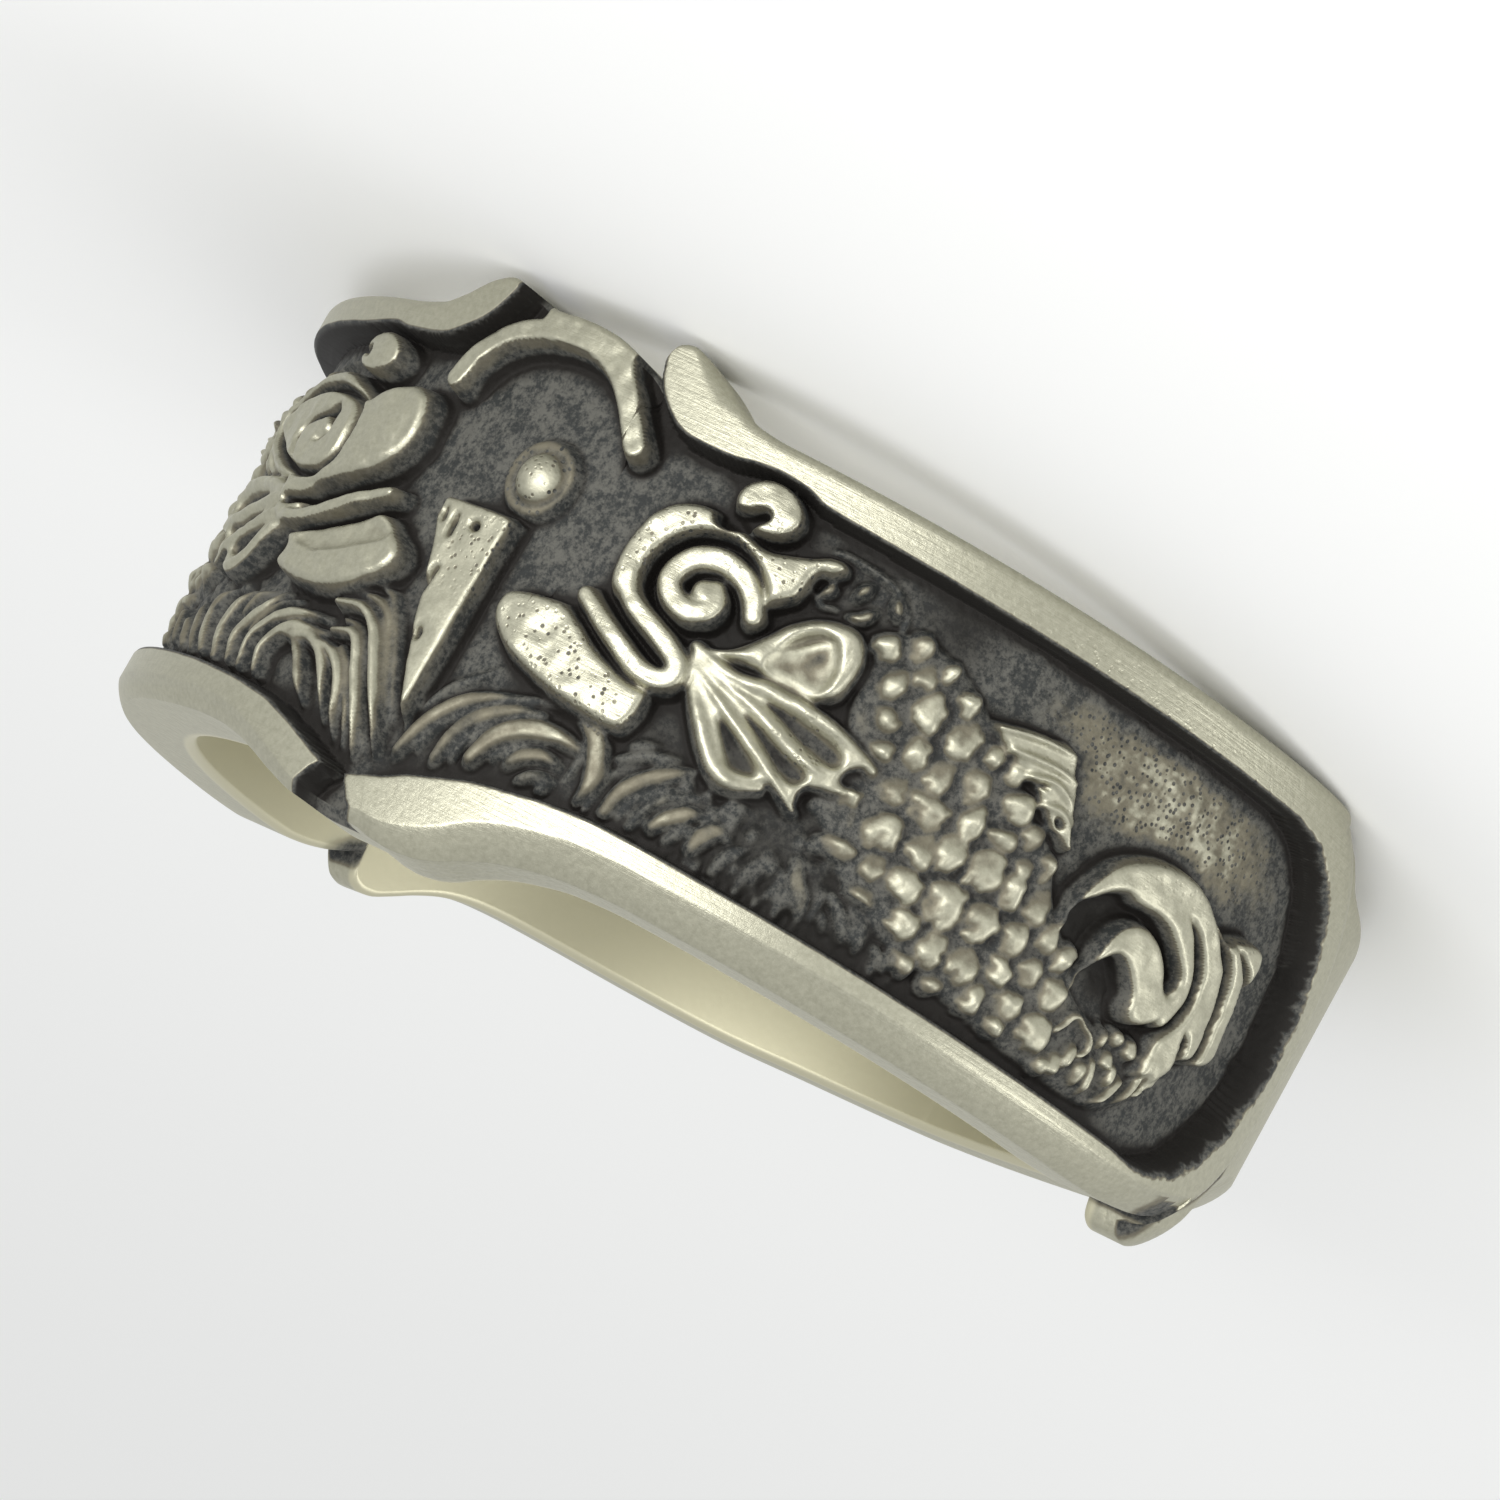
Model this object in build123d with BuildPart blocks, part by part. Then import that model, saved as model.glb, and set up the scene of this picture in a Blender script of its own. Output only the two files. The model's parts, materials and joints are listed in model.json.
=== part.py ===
"""Wide cast silver band ring: a sunken front panel framed by rails, with two facing fish in raised relief.

The ring is drawn upright, its axis along Z, its front towards -Y and its right side towards +X. Last of
all it is turned over and tilted to the pose in which it lies by itself on a flat surface.
"""
from build123d import *
import os
from math import atan2, cos, degrees, radians, sin, sqrt

os.makedirs("parts", exist_ok=True)

# Hoop, in millimetres and degrees
bore_diameter = 19.0     # finger size
hoop_wall = 1.25         # plain back, from the bore out
ground_wall = 1.05       # silver behind the sunken ground
back_half = 2.8          # half width at the middle of the back
waist_half = 3.02        # half width where the back has narrowed
waist_angle = 128.0
step_half = 3.45         # half width where the frame has run out
step_angle = 102.7
tab_half = 3.97          # lower edge of the back plate, which begins there with a step
tab_corner = 0.4
shoulder_angle = 92.0    # where the panel's edge begins to fall towards the step

# Frame of the front panel
rail_height = 0.75       # rails above the ground
upper_edge = 4.13        # outer edge of the upper rail
upper_rail = 0.8         # its width
lower_edge = 4.05        # outer edge of the lower rail
lower_rail = 0.98
bar_width = 0.5          # upright bar at each end
frame_angle = 102.4      # from the front to the outside of the end bar
frame_corner = 3.3
field_corner = 2.4
tip_at = 2.2             # upturned rail tip, from the middle
tip_lift = 0.84          # tip above the upper edge
keel_at = 2.0            # lowest place of the lower rail
keel_lift = 0.93         # below the lower edge
notch_right = 0.5        # half widths of the open notch at the keel
notch_left = 0.22

# Heights of the relief above the ground
wave_height = 0.28
body_height = 0.42
scale_height = 0.6
fin_height = 0.5
rib_height = 0.64
middle_height = 0.52     # arch, wedge and the pearl's disc
head_height = 0.68

# Motifs: turn from the front in degrees, rise from the middle, and size
arch_radius = 2.26
arch_apex = 4.4
arch_width = 0.56
arch_spread = 136.0
crest_width = 2.2
pearl_turn = 3.5
pearl_rise = 1.75
pearl_radius = 0.74
dome_radius = 0.46
wedge_rise = 1.0
wedge_length = 4.0
wedge_breadth = 1.42
brow_turn = 22.4
brow_rise = 1.2
brow_radius = 1.27
brow_width = 0.44
brow_arc = (22, 186)     # start and sweep
plume_length = 1.5
plume_arc = (205, 150)
eye_radius = 0.68
eye_width = 0.32
eye_arc = (0, 235)
pupil_at = (0.12, -0.06)  # from the middle of the eye
pupil_radius = 0.24
curl_turn = 24.7
curl_rise = 2.98
curl_radius = 0.62
curl_gap = 0.14
lip_turn = 15.0
lip_rise = -0.7
lip_length = 3.2
lip_depth = 1.55
tube_turn = 19.4
tube_rise = 0.15
tube_length = 2.0
tube_width = 0.34
tube_gap = 0.5           # between the middles of the two lip tubes
tube_slope = -24.0
gill_turn = 31.2
gill_rise = 1.1
gill_length = 2.8
gill_breadth = 1.65
fan_turn = 34.5
fan_rise = -0.5
fan_length = 3.3
fan_drop = 1.8
fan_rib = 0.18
body_turn = 47.0
body_length = 6.2
body_depth = 5.6
stern_turn = 71.6
stern_rise = -1.4
stern_length = 5.3
stern_depth = 3.2
scale_pitch = 0.66
scale_length = 0.5
scale_breadth = 0.46
columns_ahead = 1.7      # columns of scales in front of the body's middle
dorsal_turn = 56.8
dorsal_rise = 1.3
dorsal_length = 2.5
dorsal_depth = 1.6
dorsal_ray = 0.16
tail_turn = 73.9
tail_rise = -0.5
tail_radius = 1.5
tail_width = 0.8
tail_arc = (4, 158)
feather_gap = 0.17       # between the narrow bands outside the broad one
feather_width = 0.32
tail_curl = 0.8          # radius of the curl inside the crescent
curl_arc = (20, 170)
bulb_at = (0.6, -0.4)    # from the crescent's middle
bulb_radius = 0.48
wave_width = 0.18
wave_bend = (0.24, 0.66)  # where a wave bends over, as shares of its reach and lift
root_depth = 3.7         # forms are pushed in this far, to well inside the bore

# What follows from those sizes
bore_radius = bore_diameter / 2
hoop_radius = bore_radius + hoop_wall
ground_radius = bore_radius + ground_wall
rail_radius = ground_radius + rail_height
far = 2 * rail_radius
tall = 2 * (upper_edge + tip_lift + lower_edge + keel_lift)
frame_end = -rail_radius * cos(radians(frame_angle))
field_end = frame_end - bar_width
field_top = upper_edge - upper_rail
field_foot = lower_rail - lower_edge
step_end = -hoop_radius * cos(radians(step_angle))
shoulder = -hoop_radius * cos(radians(shoulder_angle))
waist = -hoop_radius * cos(radians(waist_angle))
from_back = Plane(origin=(0, 0, 0), x_dir=(0, 1, 0), z_dir=(0, 0, 1))


def touching(turn, rise=0.0):
    """Plane on the rails' cylinder, turned to the right of the front and raised above the middle."""
    out = Vector(sin(radians(turn)), -cos(radians(turn)), 0)
    right = Vector(cos(radians(turn)), sin(radians(turn)), 0)
    return Plane(origin=out * rail_radius + Vector(0, 0, rise), x_dir=right, z_dir=out)


def outline(table, length, height, soft=True):
    """Closed outline through rows of (along, rise) shares, with soft turns or with corners."""
    points = [(along * length, rise * height) for along, rise in table]
    with BuildSketch() as shape:
        with BuildLine():
            if soft:
                Spline(*points, periodic=True)
            else:
                Polyline(*points, close=True)
        make_face()
    return shape.sketch


def bow(centre, radius, start, sweep, width):
    """Ridge with round ends along part of a circle."""
    middle = Vector(centre)
    with BuildSketch() as shape:
        with BuildLine():
            outer = CenterArc(middle, radius + width / 2, start, sweep)
            inner = CenterArc(middle, radius - width / 2, start, sweep)
            Line(outer @ 0, inner @ 0)
            Line(outer @ 1, inner @ 1)
        make_face()
        with Locations((outer @ 0 + inner @ 0) / 2, (outer @ 1 + inner @ 1) / 2):
            Circle(width / 2)
    return shape.sketch


def ridge(start, end, width):
    """Straight ridge with round ends."""
    middle = ((start[0] + end[0]) / 2, (start[1] + end[1]) / 2)
    with BuildSketch() as shape:
        SlotCenterPoint(middle, end, width)
    return shape.sketch


def swell(reach, lift, width):
    """Ridge of a wave: it leaves its foot upright and bends over to a point reach along and lift up."""
    with BuildSketch() as shape:
        with BuildLine() as path:
            ThreePointArc((0, 0), (wave_bend[0] * reach, wave_bend[1] * lift), (reach, lift))
        SlotArc(path.edge(), width)
    return shape.sketch


def curl(radius, gap):
    """Round knob with a slot from its middle to its lower left edge."""
    with BuildSketch() as shape:
        Circle(radius)
        SlotCenterPoint((-radius / 2, -radius), (0, 0), gap, mode=Mode.SUBTRACT)
    return shape.sketch


def disc(centre, radius):
    """Round patch."""
    with BuildSketch() as shape:
        with Locations(centre):
            Circle(radius)
    return shape.sketch


def carry(shape, turn, rise=0.0):
    """Push an outline in from the rails' cylinder until it is rooted in the wall."""
    with BuildSketch(touching(turn, rise)) as placed:
        add(shape)
    extrude(placed.sketch, amount=-root_depth)


def level(height):
    """Cut what stands in the block down to one height above the ground."""
    with BuildSketch(from_back) as round_face:
        Circle(ground_radius + height)
    extrude(round_face.sketch, amount=tall, both=True, mode=Mode.INTERSECT)


# Top of the panel from left to right: along as a share of the tip's place, lift of the tip's lift
top_rows = [
    (-2.0, 0.0), (-1.6, 0.12), (-1.36, 0.39), (-1.1, 0.87), (-0.92, 1.0), (-0.76, 0.9), (-0.5, 0.73),
    (-0.2, 0.65), (0.1, 0.65), (0.4, 0.52), (0.8, 0.12),
]
horn_rows = [(0.8, 0.12), (0.79, 0.6), (0.86, 0.9), (1.0, 1.0), (1.36, 0.62), (1.6, 0.22), (2.0, 0.0)]
# Bottom from right to left: along as a share of the keel's place, drop of the keel's lift
keel_rows = [
    (2.6, 0.0), (2.0, 0.22), (1.4, 0.62), (1.05, 0.95), (0.8, 1.0), (0.45, 0.85), (0.1, 0.92),
    (-0.3, 0.75), (-0.8, 0.52), (-1.3, 0.2), (-2.0, 0.0),
]

with BuildSketch(Plane.XZ) as front_outline:
    with BuildLine():
        top = Spline(
            *[(tip_at * along, upper_edge + tip_lift * lift) for along, lift in top_rows],
            tangents=[(1, 0), (1, -0.8)],
        )
        horn = Spline(
            *[(tip_at * along, upper_edge + tip_lift * lift) for along, lift in horn_rows],
            tangents=[(-0.1, 1), (1, 0)],
        )
        keel = Spline(
            *[(keel_at * along, -lower_edge - keel_lift * drop) for along, drop in keel_rows],
            tangents=[(-1, 0), (-1, 0)],
        )
        Polyline(horn @ 1, (far, upper_edge), (far, -lower_edge), keel @ 0)
        Polyline(keel @ 1, (-far, -lower_edge), (-far, upper_edge), top @ 0)
    make_face()

# Inner edge of the upper rail, right then left: along as a share of the tip's place, depth of the rail's
# width from its outer edge
upper_right = [
    (0.79, -1.4), (0.8, -0.6), (0.84, -0.28), (0.91, 0.1), (1.05, 0.48), (1.3, 0.84), (1.75, 0.82),
    (2.14, 0.7), (2.5, 0.9), (3.2, 1.0),
]
upper_left = [
    (3.0, 0.88), (2.5, 0.84), (2.05, 0.72), (1.5, 0.75), (1.1, 0.42), (0.9, 0.0), (0.78, -0.6),
    (0.74, -1.4),
]
# Inner edge of the lower rail from its foot beside the notch outwards
lower_right = [
    (0.5, -1.2), (0.28, -0.6), (0.13, -0.12), (0.3, -0.02), (0.5, 0.18), (0.8, 0.44), (1.2, 0.74),
    (1.7, 0.95), (2.5, 1.08), (4.0, 1.0),
]
lower_left = [
    (4.0, 0.97), (2.5, 0.92), (1.8, 0.83), (1.2, 0.68), (0.7, 0.4), (0.3, 0.08), (0.07, -0.12),
    (0.22, -0.5), (0.12, -1.2),
]


def under_upper(rows, side):
    """Places on the upper rail's inner edge."""
    return [(side * tip_at * along, upper_edge - upper_rail * depth) for along, depth in rows]


def over_lower(rows, side):
    """Places on the lower rail's inner edge."""
    return [(side * keel_at * along, lower_rail * depth - lower_edge) for along, depth in rows]


with BuildSketch(Plane.XZ) as field_front:
    with BuildLine():
        left_crest = Spline(*under_upper(upper_left, -1))
        right_crest = Spline(*under_upper(upper_right, 1))
        right_foot = Spline(*over_lower(lower_right, 1))
        left_foot = Spline(*over_lower(lower_left, -1))
        Polyline(left_crest @ 1, (-crest_width, tall), (crest_width, tall), right_crest @ 0)
        Polyline(right_crest @ 1, (far, field_top), (far, field_foot), right_foot @ 1)
        Polyline(right_foot @ 0, (notch_right, -tall), (-notch_left, -tall), left_foot @ 1)
        Polyline(left_foot @ 0, (-far, field_foot), (-far, field_top), left_crest @ 0)
    make_face()

# Sunken field: it stops short of the frame's ends, with round corners
with BuildPart() as field_block:
    extrude(field_front.sketch, amount=far, both=True)
    with BuildSketch(Plane.YZ):
        with Locations(((field_end - far) / 2, (field_top + field_foot) / 2)):
            RectangleRounded(field_end + far, field_top - field_foot, field_corner)
        with Locations((-far / 2 - bore_radius / 2, 0)):
            Rectangle(far - bore_radius, 2 * tall)
    extrude(amount=far, both=True, mode=Mode.INTERSECT)
    with BuildSketch(from_back):
        Circle(ground_radius)
    extrude(amount=tall, both=True, mode=Mode.SUBTRACT)

# Raised plate that the field is sunk into
with BuildPart() as plate_block:
    with BuildSketch(from_back):
        Circle(rail_radius)
    extrude(amount=tall / 2, both=True)
    with BuildSketch(Plane.YZ):
        with Locations(((frame_end - far) / 2, 0)):
            RectangleRounded(frame_end + far, 2 * upper_edge, frame_corner)
        with Locations((-far / 2 - bore_radius / 2, 0)):
            Rectangle(far - bore_radius, tall)
    extrude(amount=far, both=True, mode=Mode.INTERSECT)

# Hoop behind and under it. Its upper edge runs on smoothly from the frame's, and its lower edge has a step
with BuildPart() as hoop_block:
    with BuildSketch(from_back):
        Circle(hoop_radius)
    extrude(amount=tall / 2, both=True)
    with BuildSketch(Plane.YZ):
        with BuildLine():
            Polyline((-far, 0), (-far, tall), (-bore_radius, tall), (-bore_radius, upper_edge))
            Line((-bore_radius, upper_edge), (shoulder, upper_edge))
            Spline((shoulder, upper_edge), (step_end, step_half), tangents=[(1, 0), (1, -0.3)])
            Spline(
                (step_end, step_half), (waist, waist_half), (hoop_radius, back_half),
                tangents=[(1, -0.3), (1, -0.03), (1, 0)],
            )
            Polyline((hoop_radius, back_half), (far, back_half), (far, -back_half), (hoop_radius, -back_half))
            Spline(
                (step_end + tab_corner, -tab_half), (waist, -waist_half), (hoop_radius, -back_half),
                tangents=[(1, 0.05), (1, 0.03), (1, 0)],
            )
            RadiusArc((step_end + tab_corner, -tab_half), (step_end, tab_corner - tab_half), tab_corner)
            Line((step_end, tab_corner - tab_half), (step_end, -step_half))
            Spline((step_end, -step_half), (shoulder, -upper_edge), tangents=[(-1, -0.55), (-1, 0)])
            Line((shoulder, -upper_edge), (-bore_radius, -upper_edge))
            Polyline((-bore_radius, -upper_edge), (-bore_radius, -tall), (-far, -tall), (-far, 0))
        make_face()
    extrude(amount=far, both=True, mode=Mode.INTERSECT)

# Arch over the middle, the crest it joins, the wedge hanging under it and the pearl's disc
crest_rows = [(-0.5, 0), (0.5, 0), (0.4, 1), (-0.6, 1)]
wedge_rows = [
    (-0.6, 0.0), (-0.6, -0.12), (-0.46, -0.3), (-0.3, -0.49), (-0.1, -0.67), (0.15, -0.8), (0.45, -1.0),
    (0.46, -0.5), (0.4, 0.0),
]
with BuildPart() as middle_block:
    carry(bow((0, arch_apex - arch_radius), arch_radius, 90 - arch_spread / 2, arch_spread, arch_width), 0)
    carry(outline(crest_rows, crest_width, tip_lift, soft=False), 0, arch_apex)
    carry(outline(wedge_rows, wedge_breadth, wedge_length, soft=False), 0, wedge_rise)
    carry(disc((0, 0), pearl_radius), pearl_turn, pearl_rise)
    level(middle_height)

with BuildPart(touching(pearl_turn, pearl_rise)) as dome_block:
    with Locations((0, 0, middle_height - rail_height - dome_radius / 2)):
        Sphere(dome_radius)

# Head of the right-hand fish: brow band, plume, eye spiral, curl, lips and gill
lip_rows = [
    (-0.49, 0.2), (-0.27, 0.42), (-0.12, 0.5), (0.1, 0.27), (0.46, 0.04), (0.5, -0.16), (0.38, -0.48),
    (0.1, -0.47), (-0.22, -0.33), (-0.44, -0.06),
]
gill_rows = [
    (-0.46, -0.42), (-0.27, -0.25), (-0.1, 0.12), (0.08, 0.4), (0.3, 0.5), (0.47, 0.3), (0.48, -0.15),
    (0.32, -0.4), (-0.1, -0.44),
]
with BuildPart() as head_block:
    carry(bow((0, 0), brow_radius, *brow_arc, brow_width), brow_turn, brow_rise)
    plume = bow((plume_length / 2, brow_radius), plume_length / 2, *plume_arc, brow_width)
    carry(plume, brow_turn, brow_rise)
    carry(bow((0, 0), eye_radius, *eye_arc, eye_width), brow_turn, brow_rise)
    carry(disc(pupil_at, pupil_radius), brow_turn, brow_rise)
    carry(curl(curl_radius, curl_gap), curl_turn, curl_rise)
    carry(outline(lip_rows, lip_length, lip_depth), lip_turn, lip_rise)
    run = tube_length / 2 * cos(radians(tube_slope))
    fall = tube_length / 2 * sin(radians(tube_slope))
    for step in (-0.5, 0.5):
        aside = tube_gap * step
        start = (aside * sin(radians(-tube_slope)) - run, aside * cos(radians(tube_slope)) - fall)
        end = (aside * sin(radians(-tube_slope)) + run, aside * cos(radians(tube_slope)) + fall)
        carry(ridge(start, end, tube_width), tube_turn, tube_rise)
    carry(outline(gill_rows, gill_length, gill_breadth), gill_turn, gill_rise)
    level(head_height)

# Fan of the side fin, and the fin on the back
fan_rows = [
    (-0.5, 0.39), (0.07, 0.48), (0.5, 0.31), (0.36, 0.03), (0.43, -0.09), (0.23, -0.24), (0.25, -0.48),
    (0.07, -0.36), (-0.12, -0.55), (-0.3, -0.25), (-0.5, 0.17),
]
dorsal_rows = [
    (-0.5, 0.26), (-0.04, 0.44), (0.18, 0.41), (0.3, 0.06), (0.4, -0.3), (0.48, -0.47), (0.34, -0.5),
    (0.04, -0.19), (-0.28, 0.1),
]
with BuildPart() as fin_block:
    carry(outline(fan_rows, fan_length, fan_drop, soft=False), fan_turn, fan_rise)
    carry(outline(dorsal_rows, dorsal_length, dorsal_depth, soft=False), dorsal_turn, dorsal_rise)
    level(fin_height)

# Ribs of both fins: start and end as shares of the fin's length and depth
fan_ribs = [
    ((-0.42, 0.32), (0.4, 0.3)), ((-0.42, 0.24), (0.36, -0.1)), ((-0.42, 0.16), (0.18, -0.4)),
    ((-0.44, 0.1), (-0.12, -0.45)),
]
dorsal_rays = [((-0.4, 0.24), (0.14, 0.4)), ((-0.16, 0.1), (0.26, 0.1)), ((0.1, -0.14), (0.34, -0.25))]
with BuildPart() as rib_block:
    for (along_1, rise_1), (along_2, rise_2) in fan_ribs:
        start = (along_1 * fan_length, rise_1 * fan_drop)
        end = (along_2 * fan_length, rise_2 * fan_drop)
        carry(ridge(start, end, fan_rib), fan_turn, fan_rise)
    for (along_1, rise_1), (along_2, rise_2) in dorsal_rays:
        start = (along_1 * dorsal_length, rise_1 * dorsal_depth)
        end = (along_2 * dorsal_length, rise_2 * dorsal_depth)
        carry(ridge(start, end, dorsal_ray), dorsal_turn, dorsal_rise)
    level(rib_height)

# Body, which sinks behind the head and runs back and down to the tail
body_rows = [
    (-0.5, 0.36), (-0.4, 0.48), (-0.25, 0.49), (-0.03, 0.39), (0.16, 0.28), (0.34, 0.16), (0.46, 0.0),
    (0.5, -0.25), (0.42, -0.51), (0.2, -0.46), (0.0, -0.37), (-0.14, -0.22), (-0.24, 0.05), (-0.44, 0.16),
]
stern_rows = [
    (-0.42, 0.5), (-0.3, 0.38), (-0.12, 0.08), (0.02, -0.06), (0.22, -0.02), (0.34, 0.14), (0.48, 0.16),
    (0.5, -0.08), (0.4, -0.31), (0.2, -0.48), (-0.1, -0.5), (-0.45, -0.45), (-0.5, 0.0),
]
with BuildPart() as body_block:
    carry(outline(body_rows, body_length, body_depth), body_turn)
    carry(outline(stern_rows, stern_length, stern_depth), stern_turn, stern_rise)
    level(body_height)

# Scales: lowest and highest scale of each column, as shares of the body's half depth
scale_rows = [
    (0.28, 0.8), (-0.5, 0.72), (-0.64, 0.6), (-0.76, 0.44), (-0.84, 0.28), (-0.9, 0.1), (-0.92, -0.12),
    (-0.95, -0.34), (-0.98, -0.56), (-0.98, -0.7), (-0.94, -0.7),
]
with BuildPart() as scale_block:
    for column, (lowest, highest) in enumerate(scale_rows):
        turn = body_turn + degrees((column - columns_ahead) * scale_pitch / rail_radius)
        low = lowest * body_depth / 2 + scale_pitch / 2 * (column % 2)
        count = int((highest * body_depth / 2 - low) / scale_pitch) + 1
        with BuildSketch(touching(turn)) as column_face:
            for row in range(count):
                with Locations((0, low + row * scale_pitch)):
                    Ellipse(scale_length / 2, scale_breadth / 2)
        extrude(column_face.sketch, amount=-root_depth)
    level(scale_height)

# Tail: a broad crescent, a curl inside it and narrow feathers outside, all about one centre
feather_rows = [(50, 70), (26, 42), (14, 26)]
with BuildPart() as tail_block:
    carry(bow((0, 0), tail_radius, *tail_arc, tail_width), tail_turn, tail_rise)
    carry(bow((0, -tail_curl / 4), tail_curl, *curl_arc, tail_width / 2), tail_turn, tail_rise)
    carry(disc(bulb_at, bulb_radius), tail_turn, tail_rise)
    feather_pitch = feather_width + feather_gap
    for step, (upper, sweep) in enumerate(feather_rows):
        reach = tail_radius + tail_width / 2 - feather_width / 2 + (step + 1) * feather_pitch
        carry(bow((0, 0), reach, upper - sweep, sweep, feather_width), tail_turn, tail_rise)
    level(fin_height)

# Waves: turn and rise of the foot, reach along and lift of the crest, shares of the panel's edges
wave_rows = [
    (4.3, -0.82, 0.47, 0.44), (7.9, -0.75, 0.47, 0.3), (11.3, -0.71, 0.36, 0.22),
    (22.0, -0.66, -0.13, 0.2), (24.6, -0.65, 0.24, 0.29), (29.4, -0.63, 0.13, 0.13),
    (33.3, -0.65, 0.05, 0.12), (44.0, -0.66, -0.13, 0.18), (2.1, -0.86, -0.58, 0.51),
    (0.3, -0.9, -0.52, 0.41), (-3.3, -0.87, -0.52, 0.31), (-5.4, -0.83, -0.33, 0.28),
    (-8.2, -0.8, -0.27, 0.22), (-15.9, -0.72, 0.12, 0.22), (-18.4, -0.72, 0.1, 0.27),
    (-21.0, -0.71, 0.1, 0.28), (-23.5, -0.7, -0.08, 0.24), (-26.6, -0.72, -0.17, 0.24),
]
with BuildPart() as wave_block:
    for turn, rise, reach, lift in wave_rows:
        carry(swell(reach * lower_edge, lift * lower_edge, wave_width), turn, rise * lower_edge)
    level(wave_height)

# Both fish: the left one mirrors the right one
with BuildPart() as relief_block:
    add([head_block.part, fin_block.part, rib_block.part])
    add([body_block.part, scale_block.part, tail_block.part])
    mirror(about=Plane.YZ)
    add([middle_block.part, dome_block.part, wave_block.part])

with BuildPart() as upright_block:
    add([hoop_block.part, plate_block.part])
    add(field_block.part, mode=Mode.SUBTRACT)
    add(relief_block.part)
    extrude(front_outline.sketch, amount=far, both=True, mode=Mode.INTERSECT)
    with BuildSketch(from_back):
        Circle(bore_radius)
    extrude(amount=tall, both=True, mode=Mode.SUBTRACT)

# Pose at rest: turned over, lying on the inner edges of the two tips, which the tilt brings down first, and
# on the upper rail where its edge begins to fall at the sides
tip_out = sqrt(bore_radius ** 2 - tip_at ** 2)
shoulder_out = -rail_radius * cos(radians(shoulder_angle))
tilt = degrees(atan2(tip_lift, tip_out + shoulder_out))
turned = upright_block.part.rotate(Axis.Y, 180).rotate(Axis.X, -tilt)
box = turned.bounding_box()

with BuildPart() as band:
    with Locations((-box.center().X, -box.center().Y, -box.min.Z)):
        add(turned)

band.part.label = "band"
export_step(band.part, "parts/band.step")
print(f"tilt {tilt:.2f} degrees, solids {len(band.part.solids())}, volume {band.part.volume:.1f} mm3")
print(f"size {band.part.bounding_box().size}, axis moved to {box.center().X:.3f}, {box.center().Y:.3f}")
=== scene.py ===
# %% [markdown]
# A wide silver band ring, cast in one piece.
#
# The plain back is narrow. In front a raised frame holds a sunken field, and on that field stand two facing
# fish, an arch, a pearl and waves. The ring was darkened all over and then rubbed, so what stands high is
# pale and what lies deep stayed black. Everything below is built from that one idea: a height drawn over
# the unrolled band gives both the shape and the place of the dark. That dark is black patina and, in
# hollows, on walls and in corners, painted shade as well.

# %% Load the imported ring
import json
import math

import bpy
import numpy as np
from mathutils import Matrix, Vector


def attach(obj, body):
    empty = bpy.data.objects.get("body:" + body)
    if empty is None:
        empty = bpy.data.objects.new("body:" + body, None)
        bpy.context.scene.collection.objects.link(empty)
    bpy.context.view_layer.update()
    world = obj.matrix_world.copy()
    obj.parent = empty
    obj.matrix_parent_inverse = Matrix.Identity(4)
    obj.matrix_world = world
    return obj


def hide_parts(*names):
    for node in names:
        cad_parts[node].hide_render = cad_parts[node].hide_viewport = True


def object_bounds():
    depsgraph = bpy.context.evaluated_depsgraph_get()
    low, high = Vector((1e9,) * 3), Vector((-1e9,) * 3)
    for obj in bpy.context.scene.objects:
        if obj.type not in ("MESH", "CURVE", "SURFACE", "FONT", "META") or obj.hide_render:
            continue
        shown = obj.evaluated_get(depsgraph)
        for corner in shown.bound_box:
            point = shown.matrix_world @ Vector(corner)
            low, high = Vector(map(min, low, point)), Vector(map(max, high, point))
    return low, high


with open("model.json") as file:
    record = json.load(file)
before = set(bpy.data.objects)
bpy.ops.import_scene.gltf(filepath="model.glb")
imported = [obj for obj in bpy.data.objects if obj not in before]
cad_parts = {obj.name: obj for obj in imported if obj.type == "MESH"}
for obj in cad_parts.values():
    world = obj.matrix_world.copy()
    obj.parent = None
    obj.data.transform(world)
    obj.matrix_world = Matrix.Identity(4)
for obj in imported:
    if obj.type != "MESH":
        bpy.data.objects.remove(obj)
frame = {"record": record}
cad_low, cad_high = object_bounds()
bore = frame["record"]["mounts"][0]
print("ring box in mm:", [round(1000 * (high - low), 2) for low, high in zip(cad_low, cad_high)])

# %% [markdown]
# The ring lies on its side, tipped a few degrees. It is much easier to draw it upright and put the result
# in place with one matrix. The finger hole's axis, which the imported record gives, says where upright is.

# %% Upright drawing to resting ring
MM = 0.001
hole_axis = Vector(bore["axis"]).normalized()
up = -hole_axis                      # the ring lies turned over, so its drawn top points down
side = Vector((-1.0, 0.0, 0.0))
back = up.cross(side)
resting = Matrix((side, back, up)).transposed().to_4x4()
resting.translation = Vector(bore["pos_m"])
turn_over = np.array([side, back, up])
centre = np.array(bore["pos_m"])
print("tilt from the vertical, degrees:", round(math.degrees(math.acos(hole_axis.z)), 2))


def place(points):
    """Upright millimetres to resting metres."""
    return points @ turn_over * MM + centre

# %% [markdown]
# Only a few sizes drive the band. Places on it are given as (along, rise): millimetres along the rails'
# surface from the middle of the front, and millimetres above the middle of the band.

# %% Sizes of the band
view_azimuth, view_elevation, view_roll = 0.634989, -0.137755, 0.508241   # the photo's camera, in radians
bore_radius = bore["dims"]["r_mm"]
rail_radius = 11.26
ground_radius = 10.6
hoop_radius = 10.75
unroll = 11.2                        # radius at which lengths along the band are measured
half_round = math.pi * unroll        # half way round, at the middle of the back
print("wall at the back, mm:", round(hoop_radius - bore_radius, 2))

# %% [markdown]
# The edges of the band are given by tables of a few rows. One curve runs smoothly through all rows of a
# table and never swings past them, which a common spline does beside a sharp bend.

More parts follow.
